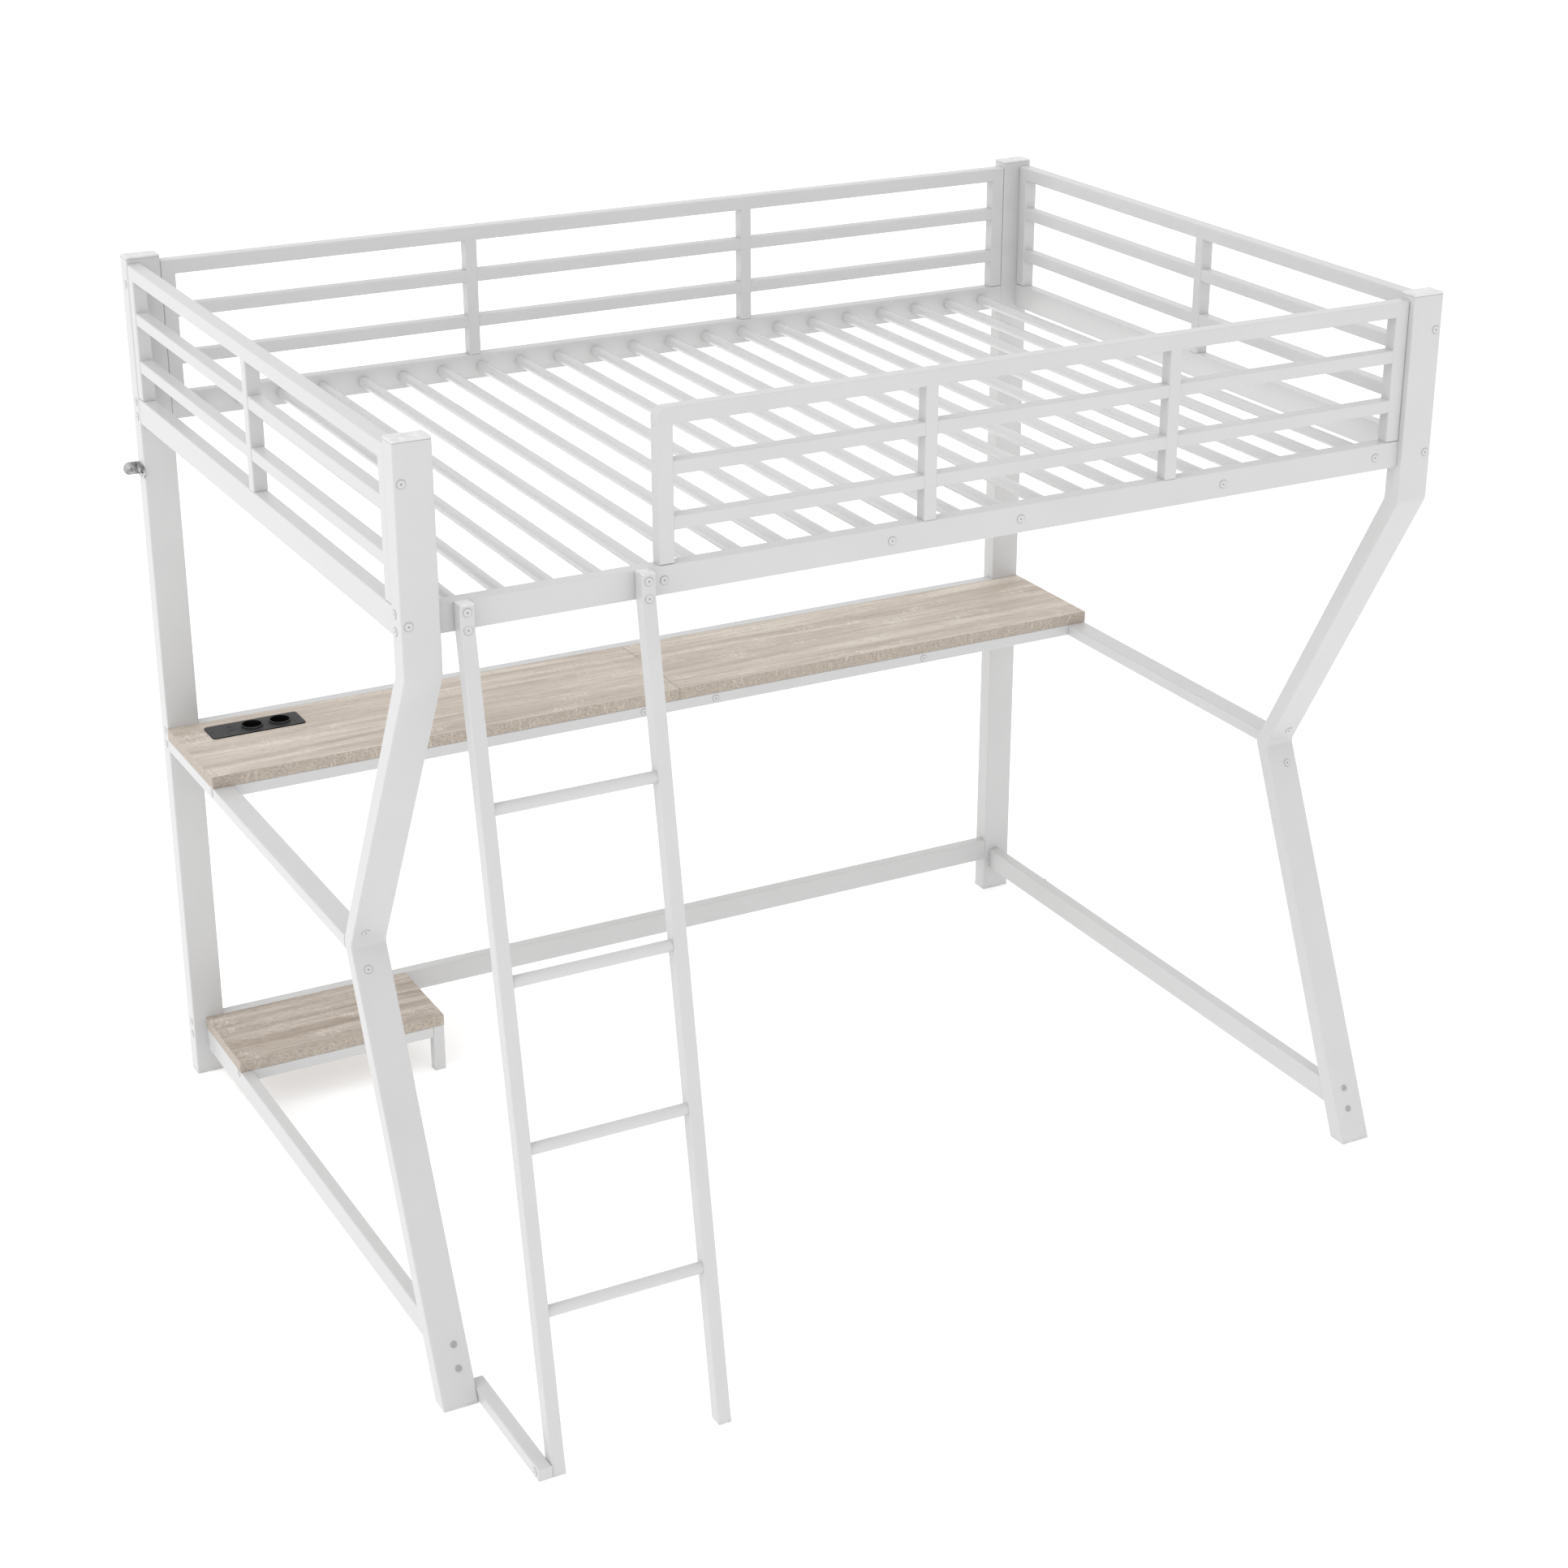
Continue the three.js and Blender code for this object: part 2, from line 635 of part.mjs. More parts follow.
function desk() {
  const top = deskUnderside - JOINT_GAP;
  const bottom = top - CROSS_TUBE;
  const railBack = deskFront + CROSS_TUBE;
  const seam = BED_LENGTH / 2;
  const frontRail = tube('desk_rail_front', 'x',
    [DESK_BRACE_WIDTH + JOINT_GAP, deskFront, bottom],
    [BED_LENGTH - DESK_BRACE_WIDTH - JOINT_GAP, railBack, top]);
  const offsets = [-SEAM_SUPPORT_OFFSET - SUPPORT_PITCH, -SEAM_SUPPORT_OFFSET,
    SEAM_SUPPORT_OFFSET, SEAM_SUPPORT_OFFSET + SUPPORT_PITCH];
  const supports = offsets.map((offset, i) => tube(`desk_support_${i + 1}`, 'y',
    [seam + offset - CROSS_TUBE / 2, railBack + JOINT_GAP, bottom],
    [seam + offset + CROSS_TUBE / 2, rearPostFront - JOINT_GAP, top]));
  return [
    ...deskBoards(),
    backRail('desk_rail_rear', DESK_HEIGHT),
    frontRail,
    deskBrace('desk_brace_left', 0, 0),
    deskBrace('desk_brace_right', BED_LENGTH - DESK_BRACE_WIDTH, rightPostInner),
    ...supports,
  ];
}

// ---------------------------------------------------------------- floor braces and shelf

// Brace near the floor, from the slanted leg to the rear post.
function floorBrace(name, left, legLeft) {
  const top = shelfUnderside - JOINT_GAP;
  return legBrace(name, legLeft,
    [left, 0, top - BACK_RAIL_HEIGHT],
    [left + FLOOR_BRACE_WIDTH, rearPostFront - JOINT_GAP, top]);
}

function floorFrame() {
  const braceRight = FLOOR_BRACE_INSET + FLOOR_BRACE_WIDTH;
  const top = shelfUnderside - JOINT_GAP;
  const bottom = top - CROSS_TUBE;
  const legLeft = shelfEnd - CROSS_TUBE;
  const railBack = shelfFront + CROSS_TUBE;
  return [
    backRail('floor_rail_rear', SHELF_HEIGHT),
    floorBrace('floor_brace_left', FLOOR_BRACE_INSET, 0),
    floorBrace('floor_brace_right', BED_LENGTH - braceRight, rightPostInner),
    board('shelf_board',
      [FLOOR_BRACE_INSET, shelfFront, shelfUnderside], [shelfEnd, deskBack, SHELF_HEIGHT]),
    tube('shelf_rail_front', 'x',
      [braceRight + JOINT_GAP, shelfFront, bottom], [legLeft - JOINT_GAP, railBack, top]),
    tube('shelf_rail_side', 'y',
      [legLeft, railBack + JOINT_GAP, bottom], [shelfEnd, rearPostFront - JOINT_GAP, top]),
    piece('shelf_leg', bar('z', [legLeft, shelfFront, 0], [shelfEnd, railBack, top]), paint),
  ];
}

// ---------------------------------------------------------------- ladder

const ladderBack = frontRailFront - JOINT_GAP;
const ladderTop = bedRailTop - LADDER_BELOW_RAIL;
const ladderStart = POST_WIDTH + FLOOR_BAR_WIDTH + 2 * JOINT_GAP;
const ladderBend = bedRailBottom + LADDER_BEND_ABOVE_RAIL_FOOT;
const ladderFace = ladderBack - LADDER_RAIL_DEPTH;

// Front face of a ladder rail, from the foot to the bend and up to the top.
function ladderPath(foot, top) {
  const slope = (LADDER_FOOT_REACH + ladderFace) / ladderBend;
  return [
    new THREE.Vector2(-LADDER_FOOT_REACH - slope * -foot, foot),
    new THREE.Vector2(ladderFace, ladderBend),
    new THREE.Vector2(ladderFace, top),
  ];
}

// Rung along +X at the middle of the rails.
function rung(radius, sides, length, height) {
  const geometry = new THREE.CylinderGeometry(radius, radius, length, sides);
  geometry.rotateZ(Math.PI / 2);
  const slope = (LADDER_FOOT_REACH + ladderFace) / ladderBend;
  const middle = LADDER_RAIL_DEPTH / 2 / Math.cos(Math.atan(slope));
  const depth = -LADDER_FOOT_REACH + slope * height + middle;
  geometry.translate(LADDER_WIDTH / 2, depth, height);
  return solidOf(geometry);
}

// Outline of a ladder rail between two heights, moved outwards by a growth.
function ladderSection(foot, top, growth) {
  const front = ladderPath(foot, top);
  return bentSection(front, offsetPath(front, LADDER_RAIL_DEPTH), growth);
}

// Welded ladder: two bent rails and the rungs, hollow and open at the feet.
function ladder() {
  const rail = bentBar(ladderSection(0, ladderTop, 0), LADDER_RAIL_WIDTH, TUBE_CORNER);
  const railBore = bentBar(
    ladderSection(-1, ladderTop - TUBE_WALL, -TUBE_WALL), LADDER_RAIL_WIDTH - 2 * TUBE_WALL, 0);
  const farSide = LADDER_WIDTH - LADDER_RAIL_WIDTH;
  const steel = [solidOf(rail), solidOf(rail).translate([farSide, 0, 0])];
  const hollow = [
    solidOf(railBore).translate([TUBE_WALL, 0, 0]),
    solidOf(railBore).translate([farSide + TUBE_WALL, 0, 0]),
  ];
  const pitch = bedRailBottom / (RUNG_COUNT + 1);
  const rungLength = LADDER_WIDTH - LADDER_RAIL_WIDTH;
  for (let i = 1; i <= RUNG_COUNT; i += 1) {
    steel.push(rung(RUNG_DIAMETER / 2, RUNG_SIDES, rungLength, i * pitch));
    hollow.push(rung(RUNG_DIAMETER / 2 - TUBE_WALL, RUNG_BORE_SIDES, rungLength, i * pitch));
  }
  const solid = joined(steel).subtract(joined(hollow));
  return piece('ladder', geometryOf(solid), paint, [ladderStart, 0, 0]);
}

// Bar on the floor that ties the ladder's foot to the left leg's foot, closed at its front.
function ladderFloorBar() {
  const left = POST_WIDTH + JOINT_GAP;
  const low = [left, -LADDER_FOOT_REACH, 0];
  const high = [left + FLOOR_BAR_WIDTH, POST_DEPTH, CROSS_TUBE];
  const hollow = bore('y', [low[0], low[1] + END_WALL, low[2]], [high[0], high[1] + 1, high[2]]);
  const solid = solidOf(bar('y', low, high)).subtract(solidOf(hollow));
  return piece('ladder_floor_bar', geometryOf(solid), paint);
}

// ---------------------------------------------------------------- wall bracket

// Leg of the bracket: a strip with a round end, with a hole or slot near that end.
function bracketLeg(length, slotLength, slotWidth) {
  const radius = BRACKET_WIDTH / 2;
  const shape = new THREE.Shape();
  shape.moveTo(0, radius);
  shape.lineTo(0, -radius);
  shape.absarc(length - radius, 0, radius, -Math.PI / 2, Math.PI / 2);
  shape.closePath();
  const half = (slotLength - slotWidth) / 2;
  const slot = new THREE.Path();
  slot.absarc(length - radius + half, 0, slotWidth / 2, -Math.PI / 2, Math.PI / 2);
  slot.absarc(length - radius - half, 0, slotWidth / 2, Math.PI / 2, 1.5 * Math.PI);
  slot.closePath();
  shape.holes.push(slot);
  return new THREE.ExtrudeGeometry(shape, {
    depth: BRACKET_THICKNESS, bevelEnabled: false, curveSegments: 6,
  });
}

// Angle bracket on the left post's end face, with its other leg against the wall.
function wallBracket() {
  const postLeg = bracketLeg(BRACKET_POST_LEG, BRACKET_SLOT_LENGTH, BRACKET_SLOT_WIDTH);
  postLeg.applyMatrix4(new THREE.Matrix4().makeBasis(
    new THREE.Vector3(0, -1, 0), new THREE.Vector3(0, 0, 1), new THREE.Vector3(-1, 0, 0)));
  const wallLeg = bracketLeg(BRACKET_WALL_LEG, BRACKET_HOLE_LENGTH, BRACKET_HOLE_WIDTH);
  wallLeg.applyMatrix4(new THREE.Matrix4().makeBasis(
    new THREE.Vector3(-1, 0, 0), new THREE.Vector3(0, 0, -1), new THREE.Vector3(0, -1, 0)));
  const solid = solidOf(postLeg).add(solidOf(wallLeg));
  return piece('wall_bracket', geometryOf(solid), zinc, [-JOINT_GAP, BED_WIDTH, BRACKET_HEIGHT]);
}

// ---------------------------------------------------------------- power strip

// Upright cylinder between two heights.
function upright(diameter, x, bottom, top) {
  const geometry = new THREE.CylinderGeometry(diameter / 2, diameter / 2, top - bottom, WELL_SIDES);
  geometry.rotateX(Math.PI / 2);
  geometry.translate(x, 0, (top + bottom) / 2);
  return solidOf(geometry);
}

// Raised rim of a socket, with a small tab at its front.
function socketRim(x) {
  const top = STRIP_FLANGE + RIM_HEIGHT;
  const tabFront = -RIM_DIAMETER / 2 - RIM_TAB_DEPTH;
  const tab = bar('z', [x - RIM_TAB_WIDTH / 2, tabFront, STRIP_FLANGE / 2],
    [x + RIM_TAB_WIDTH / 2, tabFront + 2 * RIM_TAB_DEPTH, top - RIM_TAB_BELOW_RIM], RIM_TAB_CORNER);
  return upright(RIM_DIAMETER, x, STRIP_FLANGE / 2, top).add(solidOf(tab));
}

// Power strip: a flange on the desk, a housing through it and two sockets with raised rims.
function powerStrip() {
  const width = STRIP_LENGTH - 2 * STRIP_LIP;
  const depth = STRIP_WIDTH - 2 * STRIP_LIP;
  const flange = bar('z', [-STRIP_LENGTH / 2, -STRIP_WIDTH / 2, 0],
    [STRIP_LENGTH / 2, STRIP_WIDTH / 2, STRIP_FLANGE], STRIP_CORNER);
  const housing = bar('z', [-width / 2, -depth / 2, -STRIP_DEPTH],
    [width / 2, depth / 2, STRIP_FLANGE / 2]);
  const sockets = WELL_CENTRES.map((centre) => centre - STRIP_LENGTH / 2);
  const body = joined([solidOf(flange), solidOf(housing), ...sockets.map(socketRim)]);
  const wellTop = STRIP_FLANGE + RIM_HEIGHT + 1;
  const wells = joined(sockets.map((x) => (
    upright(WELL_DIAMETER, x, STRIP_FLANGE - WELL_DEPTH, wellTop))));
  const place = [
    STRIP_FROM_END + STRIP_LENGTH / 2,
    deskBack - STRIP_FROM_BACK - STRIP_WIDTH / 2,
    DESK_HEIGHT + JOINT_GAP,
  ];
  return piece('power_strip', geometryOf(body.subtract(wells)), blackPlastic, place);
}

// ---------------------------------------------------------------- assembly

const loftBed = new THREE.Group();
loftBed.name = 'loft_bed_with_desk';
loftBed.add(
  ...posts(),
  ...bedRails(),
  ...slats(),
  ...guards(),
  ...desk(),
  ...floorFrame(),
  ladder(),
  ladderFloorBar(),
  wallBracket(),
  powerStrip(),
);

// Origin at the bottom centre of the whole box.
const outerBox = new THREE.Box3().setFromObject(loftBed, true);
const centre = outerBox.getCenter(new THREE.Vector3());
loftBed.position.set(-centre.x, -centre.y, -outerBox.min.z);

export default loftBed;
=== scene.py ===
"""Loft bed with desk: the finishes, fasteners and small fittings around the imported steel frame.

The frame's tubes, boards and fittings come from the CAD model and keep their shapes and places. This
script gives each one its finish, adds the bolts, plastic feet, end caps and socket details that sit on
them, and sets up a plain studio. Lengths are metres, +X runs along the bed and +Y towards the wall.
"""

from __future__ import annotations

import json
import logging
import math
from collections.abc import Iterator
from contextlib import contextmanager
from dataclasses import dataclass
from enum import Enum
from functools import cache

import bmesh
import bpy
from mathutils import Matrix, Vector
from mathutils.geometry import convex_hull_2d

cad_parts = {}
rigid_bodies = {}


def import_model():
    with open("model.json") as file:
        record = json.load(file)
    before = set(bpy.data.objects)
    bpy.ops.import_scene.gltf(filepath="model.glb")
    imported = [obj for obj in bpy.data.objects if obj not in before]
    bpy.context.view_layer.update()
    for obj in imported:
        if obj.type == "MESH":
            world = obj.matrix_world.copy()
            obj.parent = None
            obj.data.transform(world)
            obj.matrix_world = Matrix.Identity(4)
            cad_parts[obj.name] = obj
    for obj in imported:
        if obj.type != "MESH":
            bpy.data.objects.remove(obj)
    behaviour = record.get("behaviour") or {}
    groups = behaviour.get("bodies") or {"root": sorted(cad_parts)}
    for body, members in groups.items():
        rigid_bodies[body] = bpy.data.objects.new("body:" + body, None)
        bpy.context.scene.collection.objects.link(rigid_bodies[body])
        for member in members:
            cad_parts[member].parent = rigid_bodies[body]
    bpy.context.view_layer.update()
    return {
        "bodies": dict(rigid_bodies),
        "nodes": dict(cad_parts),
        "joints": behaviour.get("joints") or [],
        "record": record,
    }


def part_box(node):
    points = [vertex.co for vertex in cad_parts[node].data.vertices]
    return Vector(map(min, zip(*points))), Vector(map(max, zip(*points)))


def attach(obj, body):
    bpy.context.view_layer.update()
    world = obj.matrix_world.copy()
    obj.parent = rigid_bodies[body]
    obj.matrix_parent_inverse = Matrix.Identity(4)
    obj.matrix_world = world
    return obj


LOG = logging.getLogger("loft_bed")
ROOT = "root"
MM = 0.001

# The sRGB transfer curve
SRGB_KNEE = 0.04045
SRGB_SLOPE = 12.92
SRGB_OFFSET = 0.055
SRGB_POWER = 2.4
FULL_LEVEL = 255.0

# The parts of a noise's output that are stretched to its full range
MIDDLE_OF_NOISE = (0.35, 0.65)
MOST_OF_NOISE = (0.3, 0.7)

Colour = tuple[float, float, float, float]
Triple = tuple[float, float, float]
Span = tuple[float, float]
Place = tuple[Vector, Vector]
EVERYWHERE = (-math.inf, math.inf)

# Limits for finding faces and vertices on the CAD tubes
SAME_LEVEL = 0.5 * MM
TOUCHING = 1.0 * MM
LEAST_FORWARD = 0.3
MOST_SIDEWAYS = 0.1

PIECE_SMOOTH_ANGLE = 35.0
SHARPEST_CORNER = 0.2


class Side(Enum):
    """The outward direction of a flat face that carries a fastener."""

    LEFT = (-1.0, 0.0, 0.0)
    RIGHT = (1.0, 0.0, 0.0)
    FRONT = (0.0, -1.0, 0.0)
    REAR = (0.0, 1.0, 0.0)
    TOP = (0.0, 0.0, 1.0)

    @property
    def vector(self) -> Vector:
        """The direction as a vector."""
        return Vector(self.value)

    @property
    def axis(self) -> int:
        """The number of the axis that the direction runs along."""
        return [abs(part) for part in self.value].index(1.0)

    def at(self, x: float, y: float, z: float) -> Place:
        """A place that faces this way."""
        return Vector((x, y, z)), self.vector


ENDS = (Side.LEFT, Side.RIGHT)


class Slot(Enum):
    """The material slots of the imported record."""

    FRAME = "frame"
    SLATS = "slats"
    CAPS = "caps"
    BOARDS = "boards"
    BRACKET = "bracket"
    SOCKETS = "sockets"


def linear(level: float) -> float:
    """Turn a display level from 0 to 1 into linear light.

    Args:
        level: The sRGB level.

    Returns:
        The linear value of that level.
    """
    if level <= SRGB_KNEE:
        return level / SRGB_SLOPE
    return ((level + SRGB_OFFSET) / (1 + SRGB_OFFSET)) ** SRGB_POWER


def colour(red: float, green: float, blue: float) -> Colour:
    """Make a linear colour from display levels of 0 to 255.

    Args:
        red: The red level.
        green: The green level.
        blue: The blue level.

    Returns:
        Red, green, blue and alpha in linear light.
    """
    return (linear(red / FULL_LEVEL), linear(green / FULL_LEVEL), linear(blue / FULL_LEVEL), 1.0)


def grey(level: float) -> Colour:
    """A neutral grey of one display level, from 0 to 255."""
    return colour(level, level, level)


# ---- finishes


class Recipe:
    """A small helper that adds and links the nodes of one material."""

    EDGE_SAMPLES = 4
    EDGE_COSINES = (0.985, 0.80)
    MIX_COLOUR_INPUTS = slice(6, 8)
    MIX_COLOUR_OUTPUT = 2

    def __init__(self, name: str) -> None:
        """Start an empty material.

        Args:
            name: The material's name.
        """
        self.material = bpy.data.materials.new(name)
        self.material.use_nodes = True
        self.tree = self.material.node_tree
        self.shader = self.tree.nodes["Principled BSDF"]
        self._coordinates: bpy.types.Node | None = None

    def add(self, kind: str, **values: object) -> bpy.types.Node:
        """Add a node and set its properties and its input values.

        Args:
            kind: The node's type name.
            **values: Properties by name, and inputs by name with spaces as underscores.

        Returns:
            The new node.
        """
        node = self.tree.nodes.new(kind)
        for key, value in values.items():
            if hasattr(node, key):
                setattr(node, key, value)
            else:
                node.inputs[key.replace("_", " ")].default_value = value
        return node

    def link(self, source: bpy.types.NodeSocket, target: bpy.types.NodeSocket) -> None:
        """Join an output to an input."""
        self.tree.links.new(source, target)

    def place(self) -> bpy.types.NodeSocket:
        """The object coordinates, in metres.

        Returns:
            The coordinate output, shared by the whole material.
        """
        if self._coordinates is None:
            self._coordinates = self.add("ShaderNodeTexCoord")
        return self._coordinates.outputs["Object"]

    def stretched(self, scale: Triple, shift: Triple = (0.0, 0.0, 0.0)) -> bpy.types.NodeSocket:
        """The object coordinates, scaled along each axis and moved.

        Args:
            scale: The factor along X, Y and Z.
            shift: The offset added after scaling.

        Returns:
            The changed coordinates.
        """
        mapping = self.add("ShaderNodeMapping", Scale=scale, Location=shift)
        self.link(self.place(), mapping.inputs["Vector"])
        return mapping.outputs["Vector"]

    def noise(self, vector: bpy.types.NodeSocket, scale: float, detail: float = 2.0,
              roughness: float = 0.5, distortion: float = 0.0) -> bpy.types.NodeSocket:
        """Smooth noise on given coordinates.

        Args:
            vector: The coordinates.
            scale: Cells for each metre of the coordinates.
            detail: How many finer layers are added.
            roughness: How strong the finer layers are.
            distortion: How much the noise is warped.

        Returns:
            The noise, mostly between 0.3 and 0.7.
        """
        node = self.add("ShaderNodeTexNoise", Scale=scale, Detail=detail,
                        Roughness=roughness, Distortion=distortion)
        self.link(vector, node.inputs["Vector"])
        return node.outputs["Fac"]

    def remap(self, value: bpy.types.NodeSocket, low: float, high: float,
              new_low: float = 0.0, new_high: float = 1.0) -> bpy.types.NodeSocket:
        """Map a range of a value to another range, and clamp it.

        Args:
            value: The value.
            low: Where the old range starts.
            high: Where the old range ends.
            new_low: What low becomes.
            new_high: What high becomes.

        Returns:
            The mapped value.
        """
        node = self.add("ShaderNodeMapRange", From_Min=low, From_Max=high, To_Min=new_low, To_Max=new_high)
        self.link(value, node.inputs["Value"])
        return node.outputs["Result"]

    def maths(self, operation: str, first: bpy.types.NodeSocket,
              second: bpy.types.NodeSocket | float) -> bpy.types.NodeSocket:
        """Combine two values.

        Args:
            operation: The Math node's operation.
            first: The first value.
            second: The second value, or a number.

        Returns:
            The result.
        """
        node = self.add("ShaderNodeMath", operation=operation)
        self.link(first, node.inputs[0])
        if isinstance(second, float):
            node.inputs[1].default_value = second
        else:
            self.link(second, node.inputs[1])
        return node.outputs["Value"]

    def blend(self, factor: bpy.types.NodeSocket, first: bpy.types.NodeSocket | Colour,
              second: bpy.types.NodeSocket | Colour) -> bpy.types.NodeSocket:
        """Blend two colours by a factor.

        Args:
            factor: 0 gives the first colour and 1 the second.
            first: A colour or a colour output.
            second: A colour or a colour output.

        Returns:
            The blended colour.
        """
        node = self.add("ShaderNodeMix", data_type="RGBA")
        self.link(factor, node.inputs["Factor"])
        for socket, value in zip(node.inputs[self.MIX_COLOUR_INPUTS], (first, second)):
            if isinstance(value, tuple):
                socket.default_value = value
            else:
                self.link(value, socket)
        return node.outputs[self.MIX_COLOUR_OUTPUT]

    def edge(self, radius: float) -> bpy.types.NodeSocket:
        """How far a surface turns within a short distance.

        Args:
            radius: The distance, in metres.

        Returns:
            0 on flat faces, rising to 1 along edges.
        """
        soft = self.add("ShaderNodeBevel", samples=self.EDGE_SAMPLES, Radius=radius)
        plain = self.add("ShaderNodeNewGeometry")
        dot = self.add("ShaderNodeVectorMath", operation="DOT_PRODUCT")
        self.link(soft.outputs["Normal"], dot.inputs[0])
        self.link(plain.outputs["Normal"], dot.inputs[1])
        return self.remap(dot.outputs["Value"], *self.EDGE_COSINES)

    def bump(self, height: bpy.types.NodeSocket, strength: float, distance: float) -> None:
        """Raise the surface by a height map.

        Args:
            height: The height, from 0 to 1.
            strength: How strong the effect is.
            distance: How deep the map is, in metres.
        """
        node = self.add("ShaderNodeBump", Strength=strength, Distance=distance)
        self.link(height, node.inputs["Height"])
        self.link(node.outputs["Normal"], self.shader.inputs["Normal"])

    def set_even(self, **values: float | Colour) -> None:
        """Set shader inputs that are the same all over the surface, named with underscores."""
        for key, value in values.items():
            self.shader.inputs[key.replace("_", " ")].default_value = value

    def roughen(self, pattern: bpy.types.NodeSocket, middle: float, spread: float) -> None:
        """Let the roughness follow a pattern.

        Args:
            pattern: A noise output.
            middle: The roughness at the pattern's middle.
            spread: How far it goes to either side.
        """
        rough = self.remap(pattern, *MOST_OF_NOISE, middle - spread, middle + spread)
        self.link(rough, self.shader.inputs["Roughness"])


@dataclass(frozen=True)
class Coating:
    """What the plain finishes share: soft tone patches, a fine grain and a painted edge tone: painted shade
    where it is darker than the body, a painted highlight where it is lighter.
    """

    name: str
    level: float
    painted_edge_level: float | None = None
    edge_radius: float = 0.6 * MM
    tone_spread: float = 0.0
    cloud_scale: float = 60.0
    cloud_detail: float = 2.0
    grain_scale: float = 1600.0
    grain_detail: float = 3.0
    grain_roughness: float = 0.5
    grain_stretch: Triple | None = None
    grain_depth: float = 0.04 * MM
    grain_strength: float = 0.3
    roughness: float = 0.45
    roughness_spread: float = 0.08
    rough_by_grain: bool = True
    specular: float = 0.5
    metallic: float = 0.0
    coat: float = 0.0
    coat_roughness: float = 0.03

    def tones(self) -> Span:
        """The darker and the lighter level of the tone patches."""
        return (self.level - self.tone_spread, self.level + self.tone_spread)

    def build(self) -> bpy.types.Material:
        """Make the material.

        Returns:
            The finished material.
        """
        recipe = Recipe(self.name)
        cloud = recipe.noise(recipe.place(), self.cloud_scale, self.cloud_detail)
        place = recipe.stretched(self.grain_stretch) if self.grain_stretch else recipe.place()
        grain = recipe.noise(place, self.grain_scale, self.grain_detail, self.grain_roughness)
        darker, lighter = self.tones()
        body = recipe.blend(recipe.remap(cloud, *MIDDLE_OF_NOISE), grey(darker), grey(lighter))
        # Painted edge tone: a darker level stands in for the shade along rounded edges, a lighter one for a
        # highlight along them.
        if self.painted_edge_level is not None:
            body = recipe.blend(recipe.edge(self.edge_radius), body, grey(self.painted_edge_level))
        recipe.link(body, recipe.shader.inputs["Base Color"])
        recipe.roughen(grain if self.rough_by_grain else cloud, self.roughness, self.roughness_spread)
        recipe.bump(grain, self.grain_strength, self.grain_depth)
        recipe.set_even(Specular_IOR_Level=self.specular, Metallic=self.metallic,
                        Coat_Weight=self.coat, Coat_Roughness=self.coat_roughness)
        return recipe.material


@dataclass(frozen=True)
class PowderCoat(Coating):
    """White powder coat on steel: satin, faintly pebbled, with painted shade a touch darker along edges."""

    level: float = 197.0
    painted_edge_level: float | None = 186.0
    edge_radius: float = 1.4 * MM
    tone_spread: float = 1.2
    cloud_scale: float = 7.0
    cloud_detail: float = 3.0
    grain_scale: float = 900.0
    grain_detail: float = 2.0
    grain_depth: float = 0.03 * MM
    grain_strength: float = 0.25
    roughness: float = 0.34
    roughness_spread: float = 0.04
    rough_by_grain: bool = False
    coat: float = 0.15
    coat_roughness: float = 0.2


@dataclass(frozen=True)
class MouldedPlastic(Coating):
    """Moulded plastic with a fine spark-eroded grain and a painted tone along its edges."""

    grain_roughness: float = 0.6
    tone_shares: Span = (0.96, 1.03)

    def tones(self) -> Span:
        """The darker and the lighter level of the tone patches."""
        return (self.level * self.tone_shares[0], self.level * self.tone_shares[1])


@dataclass(frozen=True)
class Plated(Coating):
    """Plated steel with soft tone patches and fine rubbing marks along its height."""

    level: float = 158.0
    tone_spread: float = 30.0
    cloud_scale: float = 75.0
    cloud_detail: float = 1.0
    grain_scale: float = 500.0
    grain_stretch: Triple | None = (1.0, 1.0, 0.15)
    grain_depth: float = 0.02 * MM
    grain_strength: float = 0.02
    roughness: float = 0.16
    roughness_spread: float = 0.05
    metallic: float = 1.0


@dataclass(frozen=True)
class Grain:
    """One layer of the oak print: noise that is stretched by its own scale along each axis."""

    scale: Triple
    detail: float = 2.0
    roughness: float = 0.5
    distortion: float = 0.0

    def draw(self, recipe: Recipe, shift: Triple) -> bpy.types.NodeSocket:
        """The layer's noise, at a board's own place in the print."""
        place = recipe.stretched(self.scale, shift)
        return recipe.noise(place, 1.0, self.detail, self.roughness, self.distortion)


